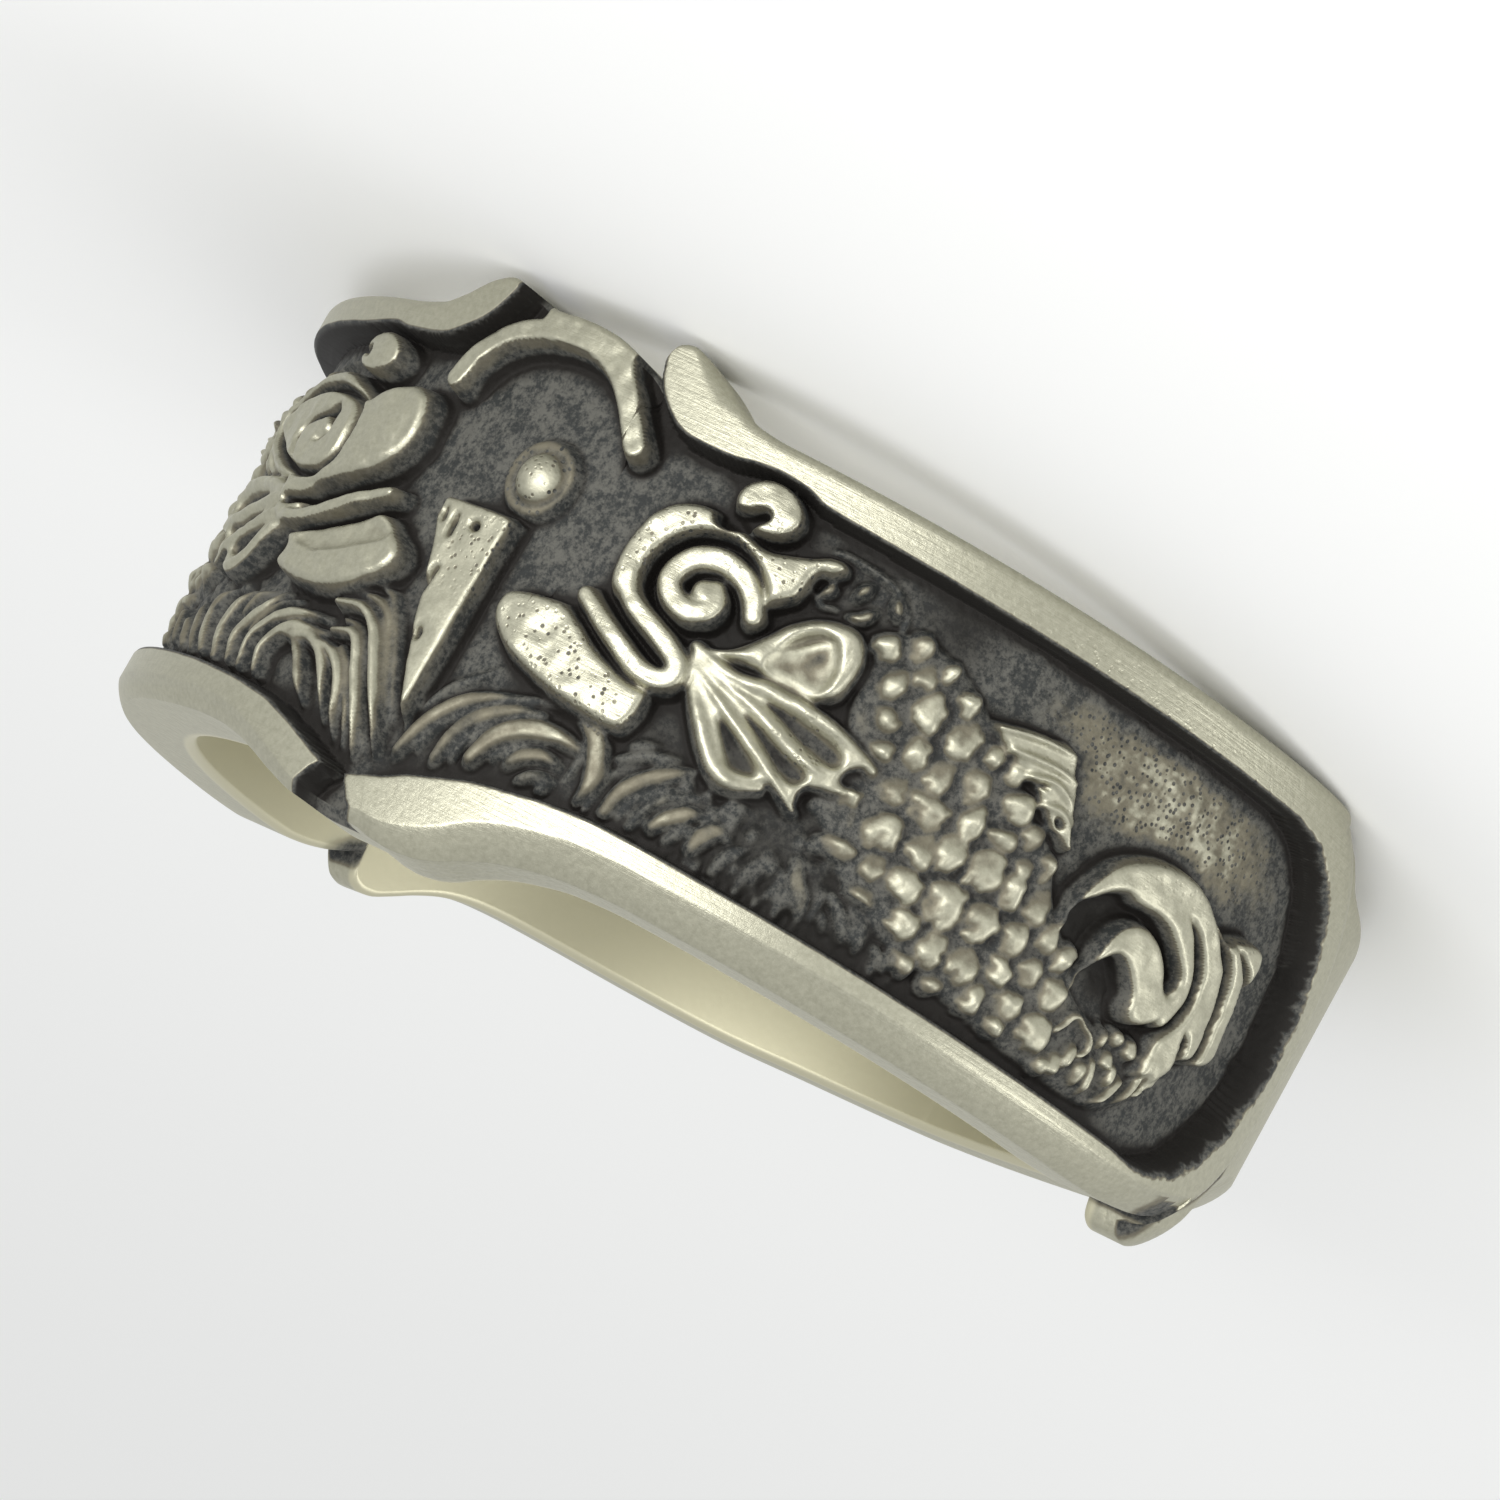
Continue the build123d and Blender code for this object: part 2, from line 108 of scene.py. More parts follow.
# %% Smooth curves through tables
def table(rows):
    """Rows of (along, value) as two arrays."""
    return np.array(rows, dtype=float).T


def curve(rows, along):
    """Smooth single-valued line through the rows, without overshoot."""
    xs, ys = table(rows)
    step = np.diff(xs)
    rate = np.diff(ys) / step
    slope = np.zeros_like(ys)
    same = rate[:-1] * rate[1:] > 0
    before, after = rate[:-1], rate[1:]
    one, two = 2 * step[1:] + step[:-1], step[1:] + 2 * step[:-1]
    safe_before = np.where(same, before, 1.0)
    safe_after = np.where(same, after, 1.0)
    slope[1:-1] = np.where(same, (one + two) / (one / safe_before + two / safe_after), 0)
    slope[0], slope[-1] = rate[0], rate[-1]
    spot = np.clip(np.searchsorted(xs, along) - 1, 0, len(xs) - 2)
    share = np.clip((along - xs[spot]) / step[spot], 0, 1)
    length = step[spot]
    keep = (1 + 2 * share) * (1 - share) ** 2
    reach = share ** 2 * (3 - 2 * share)
    lean = share * (1 - share) ** 2 * length
    arrive = share ** 2 * (share - 1) * length
    return keep * ys[spot] + reach * ys[spot + 1] + lean * slope[spot] + arrive * slope[spot + 1]


print("half way from 1 to 3:", curve([(0.0, 1.0), (1.0, 3.0)], np.array([0.5])).round(2))

# %% [markdown]
# The outline of the band, seen from outside. The upper edge rises to two tips at the middle, the left one
# joined to a crest and the right one standing free behind a notch. Behind the frame the upper edge runs on
# smoothly, while the lower one has a small step before the plain back narrows to 5.6 mm.

# %% Outline of the band
back_rows = [(24.5, 3.04), (26.0, 3.0), (29.5, 2.97), (32.0, 2.87), (half_round, 2.8)]
upper_corner = [
    (16.6, 4.12), (17.9, 4.11), (18.4, 4.04), (18.9, 3.94), (19.4, 3.82), (19.9, 3.62), (20.3, 3.46),
    (20.9, 3.35), (21.7, 3.27), (22.6, 3.2), (23.5, 3.12),
]
step_right, step_left = 18.95, 20.07  # where the lower edge steps, from the middle
right_corner = [
    (15.5, 4.04), (16.8, 4.0), (17.8, 3.88), (18.5, 3.74), (step_right, 3.62), (step_right + 0.02, 3.72),
    (step_right + 0.1, 3.96), (step_right + 0.25, 4.15), (19.5, 4.22), (19.95, 4.14), (20.4, 3.86),
    (20.75, 3.45), (21.1, 3.02), (21.6, 2.68), (22.4, 2.5), (24.0, 2.5), (25.5, 2.58), (28.0, 2.66),
    (31.0, 2.68), (half_round, 2.8),
]
left_corner = [
    (16.6, 4.04), (17.8, 4.02), (18.4, 3.95), (19.1, 3.8), (19.7, 3.6), (step_left, 3.46),
    (step_left + 0.02, 3.62), (step_left + 0.08, 3.86), (step_left + 0.25, 4.04), (20.6, 4.1), (20.9, 4.06),
    (21.4, 3.85), (22.0, 3.55), (22.7, 3.28), (23.5, 3.12),
]


def facing_left(rows, sign=1):
    """Rows of one side for the other side, with the values' sign if they lie below."""
    return [(-a, sign * z) for a, z in reversed(rows)]


top_rows = (
    facing_left(upper_corner + back_rows)
    + [(-4.6, 4.12), (-3.5, 4.22), (-3.0, 4.45), (-2.4, 4.86), (-2.0, 4.96), (-1.7, 4.9), (-1.15, 4.74)]
    + [(-0.6, 4.66), (0.0, 4.68), (0.64, 4.63), (1.15, 4.5), (1.6, 4.31), (1.82, 4.2), (1.87, 4.7)]
    + [(1.95, 4.88), (2.2, 4.96), (2.5, 4.88), (3.0, 4.65), (3.5, 4.36), (4.0, 4.17), (4.6, 4.12)]
    + upper_corner + back_rows
)
bottom_rows = (
    facing_left(left_corner + back_rows, -1)
    + [(-4.6, -4.05), (-3.5, -4.1), (-2.8, -4.2), (-2.2, -4.35), (-1.4, -4.6), (-0.6, -4.8), (0.0, -4.86)]
    + [(0.5, -4.86), (0.9, -4.87), (1.25, -4.94), (1.64, -4.97), (2.07, -4.93), (2.45, -4.82)]
    + [(2.9, -4.6), (3.4, -4.4), (4.0, -4.24), (4.8, -4.1), (6.0, -4.04)]
    + [(a, -z) for a, z in right_corner]
)
print("outline rows:", len(top_rows), "above,", len(bottom_rows), "below")

# %% [markdown]
# The relief is kept as a sheet of heights over the unrolled band. A raised form counts only where it is
# higher than what stands there already, so forms that overlap run together as they do in a wax model, and a
# cut ends at the ground.

# %% Sheet of heights
below_ground = -0.02                 # the level at which a cut ends


class Sheet:
    """Heights above the ground at many (along, rise) places of the unrolled band."""

    def __init__(self, along, rise):
        self.along, self.rise = along, rise
        self.height = np.zeros_like(along)

    def near(self, points, reach):
        """Indices of the places within reach of a set of points."""
        low, high = points.min(0) - reach, points.max(0) + reach
        beside = (self.along > low[0]) & (self.along < high[0])
        level = (self.rise > low[1]) & (self.rise < high[1])
        return np.nonzero(beside & level)[0]

    def lift(self, spots, height):
        """Raise the sheet where the new form is higher."""
        self.height[spots] = np.maximum(self.height[spots], height)

    def sink(self, spots, depth):
        """Cut into the sheet, hardly deeper than the ground."""
        deepest = np.minimum(self.height[spots], below_ground)
        self.height[spots] = np.maximum(self.height[spots] - depth, deepest)


print("a new sheet starts at the ground:", Sheet(np.zeros(2), np.zeros(2)).height)

# %% [markdown]
# Every form of the relief is a line or an outline with a rounded shoulder. Three small tools draw them all:
# the distance to a line, the distance inside an outline, and the shoulder that turns a distance into a
# height. Working out heights this way keeps each edge as crisp as a chased one, which a sculpted mesh of
# the same weight would not.

# %% Drawing tools
curve_steps = 6                      # short pieces between two points of a line
edge_bulge = 2.2                     # how square a rounded edge is; 2 would be a quarter circle


def soften(points, closed=False):
    """Points along a smooth line through the given ones."""
    points = np.asarray(points, dtype=float)
    if closed:
        ring = np.vstack([points[-1:], points, points[:2]])
    else:
        ring = np.vstack([2 * points[:1] - points[1:2], points, 2 * points[-1:] - points[-2:-1]])
    share = np.linspace(0, 1, curve_steps, endpoint=False)[:, None]
    parts = []
    for one, two, three, four in zip(ring, ring[1:], ring[2:], ring[3:]):
        squared = 2 * one - 5 * two + 4 * three - four
        cubed = 3 * two - one - 3 * three + four
        parts.append(0.5 * (2 * two + (three - one) * share + squared * share ** 2 + cubed * share ** 3))
    line = np.vstack(parts)
    return line if closed else np.vstack([line, points[-1:]])


def distance(along, rise, line):
    """Distance from places to a line, and how far along the line the nearest point lies, from 0 to 1."""
    start, run = line[:-1], np.diff(line, axis=0)
    length = np.hypot(run[:, 0], run[:, 1]) + 1e-9
    passed = np.concatenate([[0], np.cumsum(length)])
    best = np.full(along.shape, 1e9)
    spot = np.zeros(along.shape)
    for (x, y), (dx, dy), size, before in zip(start, run, length, passed):
        share = np.clip(((along - x) * dx + (rise - y) * dy) / size ** 2, 0, 1)
        gap = np.hypot(along - x - share * dx, rise - y - share * dy)
        closer = gap < best
        best = np.where(closer, gap, best)
        spot = np.where(closer, before + share * size, spot)
    return best, spot / passed[-1]


def to_loop(along, rise, loop):
    """Distance from places to a closed loop."""
    return distance(along, rise, np.vstack([loop, loop[:1]]))[0]


def inside(along, rise, loop):
    """Which places a closed loop holds."""
    held = np.zeros(along.shape, dtype=bool)
    for (x1, y1), (x2, y2) in zip(loop, np.roll(loop, -1, axis=0)):
        if y1 != y2:
            crosses = (y1 > rise) != (y2 > rise)
            held ^= crosses & (along < (x2 - x1) * (rise - y1) / (y2 - y1) + x1)
    return held


def shoulder(depth, round_over):
    """Share of the full height at a depth inside an edge: a steep side, then a rounded shoulder."""
    share = np.clip(depth / round_over, 0, 1)
    return (1 - (1 - share) ** edge_bulge) ** (1 / edge_bulge)


print("shoulder at a quarter of its width:", round(float(shoulder(0.25, 1.0)), 2))

# %% [markdown]
# With those tools come the five kinds of form on this ring: a ridge along a line, a plate inside an outline,
# a groove along a line, a hollow inside an outline and a round knob. The numbers in their calls are
# millimetres: a width or none, a height or depth, and how far the edge is rounded.

# %% Ridges, plates, grooves, hollows and knobs
def ridge(sheet, points, width, height, taper=(1.0, 1.0), level_to=1.0):
    """Raised line, flat on top where level_to is under one; taper gives its width at both ends."""
    line = soften(points)
    spots = sheet.near(line, width)
    gap, share = distance(sheet.along[spots], sheet.rise[spots], line)
    half = width / 2 * np.interp(share, [0, 0.35, 0.65, 1], [taper[0], 1, 1, taper[1]])
    low_ends = 0.4 + 0.6 * taper[0], 0.4 + 0.6 * taper[1]
    scale = np.interp(share, [0, 0.2, 0.8, 1], [low_ends[0], 1, 1, low_ends[1]])
    sheet.lift(spots, height * scale * shoulder(half - gap, level_to * width / 2))


def held_by(sheet, loop):
    """Indices of the places inside a loop, and how deep inside it they lie."""
    spots = sheet.near(loop, 0.05)
    spots = spots[inside(sheet.along[spots], sheet.rise[spots], loop)]
    return spots, to_loop(sheet.along[spots], sheet.rise[spots], loop)


def plate(sheet, points, height, round_over=0.16, smooth=True):
    """Raised patch inside an outline."""
    loop = soften(points, closed=True) if smooth else np.asarray(points, dtype=float)
    spots, depth = held_by(sheet, loop)
    sheet.lift(spots, height * shoulder(depth, round_over))


def groove(sheet, points, width, depth, taper=(0.5, 0.5), smooth=True):
    """Line cut into what stands there, with a round bed and soft edges."""
    line = soften(points) if smooth else np.asarray(points, dtype=float)
    spots = sheet.near(line, width)
    gap, share = distance(sheet.along[spots], sheet.rise[spots], line)
    reach = 0.62 * width
    half = reach * np.interp(share, [0, 0.3, 0.7, 1], [taper[0], 1, 1, taper[1]])
    sheet.sink(spots, depth * (0.5 - 0.5 * np.cos(math.pi * np.clip((half - gap) / reach, 0, 1))))


def hollow(sheet, points, depth, round_over=0.12):
    """Patch pressed into what stands there."""
    spots, gap = held_by(sheet, soften(points, closed=True))
    sheet.sink(spots, depth * shoulder(gap, round_over))


def knob(sheet, spot, radius, height, flat=0.0, tall=1.0):
    """Round boss: a dome, or a disc with a rounded edge where flat is near one."""
    spots = sheet.near(np.array([spot]), radius)
    gap = np.hypot(sheet.along[spots] - spot[0], (sheet.rise[spots] - spot[1]) / tall)
    held = gap < radius
    spots, gap = spots[held], gap[held]
    dome = np.sqrt(np.clip(1 - (gap / radius) ** 2, 0, 1))
    disc = shoulder(radius - gap, 0.14)
    sheet.lift(spots, height * (flat * disc + (1 - flat) * dome))


print("kinds of form:", [form.__name__ for form in (ridge, plate, groove, hollow, knob)])

# %% [markdown]
# The lines were read off the photograph, which looks at the ring from one side. A low form is seen shifted
# against a high one there, so its points are moved to where they truly lie. The left fish is the right one
# turned over and moved a little, since the carver of the pattern did not copy exactly.

# %% True places
furthest_turn = 1.2                  # radians from the eye; beyond it the shift is kept as it is there


def read(points, height):
    """True places of points that were read off the photograph as if they lay at the rails' radius.

    A lower form is seen past its place, the more so the further it is turned away from the eye.
    """
    points = np.array(points, dtype=float)
    depth = unroll - ground_radius - height
    lean = np.clip(view_azimuth - points[:, 0] / unroll, -furthest_turn, furthest_turn)
    points[:, 1] -= depth * np.tan(view_elevation) / np.cos(lean)
    points[:, 0] -= depth * np.tan(lean)
    return points


def fish(points, height, move, flip):
    """True places of a form of the right fish, or of the left fish where flip is set."""
    return read(points, height) * (-1 if flip else 1, 1) + (move, 0)


print("shift of the ground at the middle, mm:", (read([(0.0, 0.0)], 0.0)[0]).round(2).tolist())

# %% [markdown]
# Noise that repeats each run. A fixed grid of random numbers is blended between its points, which gives the
# soft unevenness of hand work on a wax and, with finer grids, the pebbled ground.

# %% Steady noise
noise_cells = 256                    # the grid repeats after this many
noise_start = 1000                   # keeps every place on the positive side of the grid


def unevenness(along, rise, size, seed):
    """Smooth random values from -1 to 1 with bumps of about the given size in millimetres."""
    values = np.random.default_rng(seed).uniform(-1, 1, (noise_cells, noise_cells))
    x, y = along / size + noise_start, rise / size + noise_start
    column, row = np.floor(x).astype(int), np.floor(y).astype(int)
    u, v = x - column, y - row
    u, v = u * u * (3 - 2 * u), v * v * (3 - 2 * v)
    left, right = column % noise_cells, (column + 1) % noise_cells
    near, far = row % noise_cells, (row + 1) % noise_cells
    lower = values[near, left] * (1 - u) + values[near, right] * u
    upper = values[far, left] * (1 - u) + values[far, right] * u
    return lower * (1 - v) + upper * v


print("noise at the middle:", round(float(unevenness(np.zeros(1), np.zeros(1), 0.5, 3)[0]), 3))

# %% [markdown]
# The rails' inner edges, where the frame looks down on the sunken field. Both run nearly level, and at the
# middle each opens into the gap between two tips.

# %% Inner edges of the rails
upper_inner_rows = [
    (-19.8, 3.32), (-9.0, 3.45), (-6.0, 3.45), (-5.0, 3.52), (-4.5, 3.56), (-4.0, 3.5), (-3.3, 3.52),
    (-2.86, 3.58), (-2.43, 3.8), (-2.0, 4.14), (-1.79, 4.49), (-1.66, 4.8), (-1.55, 5.3), (1.7, 5.3),
    (1.76, 4.75), (1.83, 4.4), (2.0, 4.05), (2.3, 3.75), (2.6, 3.55), (2.9, 3.45), (3.4, 3.42),
    (3.9, 3.45), (4.2, 3.52), (4.7, 3.57), (5.2, 3.52), (5.6, 3.4), (6.0, 3.37), (8.0, 3.33), (19.8, 3.27),
]
lower_inner_rows = [
    (-19.8, -3.15), (-8.0, -3.1), (-5.0, -3.15), (-4.0, -3.21), (-3.3, -3.26), (-2.7, -3.34), (-2.2, -3.41),
    (-1.71, -3.55), (-1.14, -3.73), (-0.57, -3.95), (-0.2, -4.12), (-0.12, -5.4), (0.2, -5.4),
    (0.27, -4.14), (0.57, -4.0), (1.0, -3.86), (1.43, -3.66), (2.0, -3.48), (2.57, -3.3), (3.14, -3.2),
    (4.0, -3.06), (5.0, -2.99), (7.0, -3.02), (10.0, -3.06), (15.0, -3.15), (19.8, -3.2),
]
print("rows of the inner edges:", len(upper_inner_rows), len(lower_inner_rows))

# %% [markdown]
# The frame first: the loop where the sunken field meets the rails, and the loop where the frame drops to the
# plain back. Both have wide rounded corners at the sides, with the field's corner almost an ellipse.

# %% Field and frame loops
def corner(middle, offset, half_long, half_tall, power, steps=14):
    """Quarter of a rounded rectangle's corner, from the long edge to the end."""
    turn = np.linspace(0, math.pi / 2, steps)
    long = middle + half_long * np.sin(turn) ** (2 / power)
    tall = offset + half_tall * np.cos(turn) ** (2 / power)
    return np.stack([long, tall], axis=1)


def edge_line(rows, end):
    """Points of an edge between two places along the band, closer in the middle, where it is curved."""
    close = np.arange(-6.2, 6.21, 0.1)
    wide = np.arange(-end, end + 0.01, 0.8)
    along = np.unique(np.concatenate([close, wide]).round(4))
    return np.stack([along, curve(rows, along)], axis=1)


field_above = corner(16.5, 0.0, 2.8, 3.22, 1.75)
field_below = corner(16.5, 0.0, 2.8, 3.18, 2.1) * (1, -1)
frame_above = corner(16.0, 0.6, 4.15, 3.8, 2.1)
frame_below = corner(16.0, 0.6, 4.15, 3.45, 2.4) * (1, -1)
tips_notch = np.array([
    (0.23, -4.14), (0.34, -4.35), (0.55, -4.62), (0.84, -4.82), (0.95, -5.4),
    (-0.35, -5.4), (-0.38, -4.85), (-0.5, -4.6), (-0.36, -4.35), (-0.16, -4.15),
])
upper_edge_line = edge_line(upper_inner_rows, 16.6)
lower_edge_line = edge_line(lower_inner_rows, 16.6)
lower_right = lower_edge_line[lower_edge_line[:, 0] > 0.3]
lower_left = lower_edge_line[lower_edge_line[:, 0] < -0.2]
field_loop = np.vstack([
    upper_edge_line, field_above, field_below[::-1], lower_right[::-1], tips_notch,
    lower_left[::-1], field_below * (-1, 1), (field_above * (-1, 1))[::-1],
])
frame_loop = np.vstack([
    [(-16.2, 6.0), (16.2, 6.0)], frame_above, frame_below[::-1], [(16.2, -6.0), (-16.2, -6.0)],
    frame_below * (-1, 1), (frame_above * (-1, 1))[::-1],
])
print("field loop points:", len(field_loop), "frame loop points:", len(frame_loop))

# %% [markdown]
# The two fish share their bodies, scales, fins and tails, so one function draws each of them on either side.
# The tables hold the right fish as it is seen in the photograph: here its body, and the place and size of
# every scale.

# %% Places of the body and the scales
body_outline = [
    (7.55, 2.1), (8.0, 2.35), (8.6, 2.35), (9.2, 2.15), (9.8, 1.8), (10.4, 1.5), (11.2, 0.95), (12.0, 0.4),
    (12.4, -0.2), (12.9, -0.65), (13.35, -0.95), (13.6, -1.35), (14.2, -1.6), (14.8, -1.6), (15.3, -1.4),
    (16.0, -1.2), (16.6, -1.4), (16.4, -1.95), (16.0, -2.45), (15.5, -2.8), (15.0, -2.95), (14.0, -3.0),
    (12.0, -2.85), (11.0, -2.65), (10.2, -2.5), (9.5, -2.2), (8.8, -1.9), (8.4, -1.5), (8.0, -1.2),
    (7.7, -1.0), (7.7, 0.2), (7.5, 1.2),
]
scales = [  # place, half length and half height
    (7.65, 1.9, 0.24, 0.22), (8.15, 2.18, 0.2, 0.25), (8.82, 2.08, 0.16, 0.2), (8.45, 1.78, 0.24, 0.22),
    (8.04, 1.42, 0.2, 0.27), (9.32, 1.76, 0.2, 0.23), (8.82, 1.3, 0.27, 0.32), (9.55, 1.22, 0.27, 0.32),
    (8.2, 0.86, 0.22, 0.2), (8.95, 0.62, 0.22, 0.28), (9.48, 0.45, 0.24, 0.28), (10.18, 1.25, 0.18, 0.2),
    (10.12, 0.62, 0.24, 0.3), (10.62, 1.2, 0.22, 0.2), (10.98, 0.7, 0.27, 0.24), (11.45, 0.42, 0.22, 0.22),
    (8.42, 0.36, 0.2, 0.16), (8.92, -0.14, 0.24, 0.22), (9.58, -0.14, 0.38, 0.28), (10.4, 0.08, 0.2, 0.28),
    (10.98, 0.1, 0.28, 0.17), (11.6, -0.12, 0.2, 0.18), (12.0, 0.12, 0.17, 0.22), (10.3, -0.5, 0.27, 0.33),
    (10.98, -0.5, 0.34, 0.33), (11.62, -0.55, 0.22, 0.3), (12.22, -0.55, 0.24, 0.28),
    (12.68, -0.9, 0.2, 0.24), (9.1, -0.84, 0.32, 0.28), (9.82, -0.8, 0.28, 0.28), (13.15, -1.0, 0.18, 0.26),
    (8.55, -1.42, 0.3, 0.18), (9.22, -1.42, 0.22, 0.23), (9.88, -1.4, 0.32, 0.26),
    (10.62, -1.35, 0.36, 0.36), (11.36, -1.26, 0.32, 0.3), (12.05, -1.22, 0.26, 0.27),
    (12.66, -1.56, 0.24, 0.22), (12.12, -1.78, 0.28, 0.22), (13.3, -1.62, 0.24, 0.26),
    (10.15, -1.96, 0.28, 0.24), (10.82, -2.1, 0.25, 0.3), (11.48, -2.04, 0.28, 0.3),
    (11.95, -2.45, 0.2, 0.26), (12.6, -2.2, 0.26, 0.22), (13.34, -2.34, 0.3, 0.3),
    (12.55, -2.66, 0.2, 0.17), (13.78, -2.76, 0.16, 0.16), (14.0, -2.6, 0.16, 0.18),
    (14.55, -2.5, 0.16, 0.2), (15.0, -1.6, 0.16, 0.14), (8.3, -0.6, 0.2, 0.16), (9.3, -1.92, 0.26, 0.14),
    (10.5, -2.56, 0.24, 0.16), (11.15, -2.62, 0.2, 0.15),
]
print("scales on each fish:", len(scales))

# %% [markdown]
# The scales are worn pebbles, no two alike. Each has a free edge that stands up towards the tail, a facet or
# two, and an outline made uneven with noise.

# %% Coat of scales
body_level = 0.23
scale_top = 0.39
scale_spread = 1.27                  # scales are drawn this much larger, so that they overlap
squareness = 2.7                     # of a scale's outline; 2 would be an ellipse


def scale_coat(sheet, move, flip):
    """Overlapping scales, like worn pebbles whose free edge stands up towards the tail."""
    chance = np.random.default_rng(7)
    rows = np.array(scales)
    root = body_level * 0.8
    middles = fish(rows[:, :2], scale_top, move, flip)
    for spot, (long, tall) in zip(middles, rows[:, 2:] * scale_spread):
        turn = 0.35 * chance.uniform(-1, 1)
        top = scale_top * (1 + 0.14 * chance.uniform(-1, 1))
        keel_at = 0.4 * chance.uniform(-1, 1)
        spots = sheet.near(spot[None], 0.6)
        x = (sheet.along[spots] - spot[0]) * (-1 if flip else 1)
        y = sheet.rise[spots] - spot[1]
        own_noise = x + 9 * spot[0]
        wobble = 0.16 * unevenness(own_noise, y, 0.17, 21) + 0.08 * unevenness(own_noise, y, 0.07, 22)
        toward = (x * math.cos(turn) + y * math.sin(turn)) / long + wobble
        across = (y * math.cos(turn) - x * math.sin(turn)) / tall + wobble
        narrow = 1 + 0.25 * np.clip(-toward, 0, 1)
        reach = (np.abs(toward) ** squareness + np.abs(across * narrow) ** squareness) ** (1 / squareness)
        depth = (1 - reach) * min(long, tall)
        facet = 0.07 * np.clip(1 - np.abs(across - keel_at) / 0.7, 0, 1)
        facet = facet - 0.06 * np.clip(toward - keel_at, 0, 1)
        height = top * (0.62 + 0.38 * np.clip((toward + 1) / 1.5, 0, 1)) + facet
        held = depth > 0
        soft = 0.2 + 0.14 * np.clip(-toward[held], 0, 1)
        sheet.lift(spots[held], root + (height[held] - root) * shoulder(depth[held], soft))


flank = Sheet(np.linspace(9, 12, 200), np.full(200, -0.5))
scale_coat(flank, 0.0, False)
print("scales along the flank rise to, mm:", round(float(flank.height.max()), 2))

# %% [markdown]
# Under the coat lies a low rounded body. At the nape a few small leaves and lines lead over to the head.

# %% Body and nape
nape_lines = [
    [(6.0, 2.2), (6.3, 2.0), (6.6, 2.05)], [(6.1, 2.9), (6.5, 2.95), (7.3, 2.85), (7.7, 2.55), (7.75, 2.2)],
    [(7.7, 0.75), (8.1, 0.6), (8.4, 0.5)],
]
nape_leaves = [
    [(6.8, 2.4), (6.86, 2.55), (6.95, 2.7)], [(7.42, 2.68), (7.5, 2.55), (7.6, 2.4)],
    [(6.85, 2.04), (7.05, 2.12), (7.22, 2.35)], [(6.25, 2.15), (6.35, 2.3), (6.35, 2.45)],
]


def body(sheet, move=0.0, flip=False):
    """Body with its coat of scales, and small leaves and lines at the nape."""
    plate(sheet, fish(body_outline, body_level, move, flip), body_level * 0.9, 0.35)
    scale_coat(sheet, move, flip)
    for points in nape_leaves:
        ridge(sheet, fish(points, 0.3, move, flip), 0.26, 0.33, (0.7, 0.5), level_to=0.8)
    for points in nape_lines:
        ridge(sheet, fish(points, 0.2, move, flip), 0.12, 0.2, (0.7, 0.7))


print("leaves and lines at the nape:", len(nape_leaves), len(nape_lines))

# %% [markdown]
# Fins are fans of ridges with hollows between them, held in a thin rim. The breast fin spreads from behind
# the mouth, and the back fin leans against the scales.

# %% Fins
fan_outline = [
    (4.7, 0.42), (5.2, 0.36), (5.9, 0.4), (6.6, 0.42), (7.3, 0.4), (8.0, 0.25), (8.52, 0.0), (8.3, -0.12),
    (8.12, -0.28), (8.1, -0.5), (8.25, -0.62), (8.05, -0.76), (7.82, -0.8), (7.6, -0.95), (7.64, -1.38),
    (7.4, -1.2), (7.0, -1.17), (6.7, -1.35), (6.4, -1.5), (6.1, -1.45), (5.85, -1.25), (5.6, -0.9),
    (5.3, -0.6), (5.0, -0.3),
]
fan_ridges = [
    [(4.8, 0.4), (5.6, 0.2), (6.3, 0.28), (7.3, 0.26), (8.0, 0.12), (8.45, -0.02)],
    [(5.0, 0.2), (5.6, 0.05), (6.3, -0.12), (7.2, -0.44), (8.15, -0.56)],
    [(5.0, 0.05), (6.1, -0.5), (7.0, -0.95), (7.6, -1.28)],
    [(5.05, -0.2), (5.5, -0.7), (6.0, -1.2), (6.4, -1.38), (6.9, -1.2)],
]
fan_widths = (0.46, 0.42, 0.38, 0.5)
fan_hollows = [
    [(6.3, 0.1), (7.0, 0.1), (7.75, 0.0), (7.95, -0.2), (7.8, -0.38), (7.3, -0.32), (6.7, -0.1)],
    [(6.1, -0.26), (6.9, -0.47), (7.5, -0.66), (7.45, -0.9), (7.2, -0.92), (6.7, -0.65)],
    [(5.75, -0.5), (6.3, -0.72), (6.75, -1.0), (6.7, -1.15), (6.35, -1.2), (6.1, -1.0)],
]
dorsal_outline = [
    (9.85, 1.7), (10.5, 1.85), (11.0, 2.05), (11.35, 2.1), (11.55, 1.98), (11.65, 1.75), (11.75, 1.62),
    (11.85, 1.45), (11.95, 1.2), (12.1, 1.0), (12.1, 0.8), (12.3, 0.6), (12.1, 0.5), (11.9, 0.6),
    (11.5, 0.8), (11.0, 1.2), (10.5, 1.35),
]
dorsal_ridges = [
    [(10.0, 1.72), (10.8, 1.92), (11.5, 1.98)], [(10.4, 1.5), (11.2, 1.62), (11.75, 1.6)],
    [(10.9, 1.28), (11.4, 1.4), (11.9, 1.2)], [(11.4, 1.0), (11.8, 1.02), (12.2, 0.6)],
]
dorsal_hollows = [
    [(11.0, 1.35), (11.2, 1.42), (11.3, 1.3), (11.1, 1.2)], [(11.65, 0.9), (11.8, 0.92), (11.8, 0.75)],
]


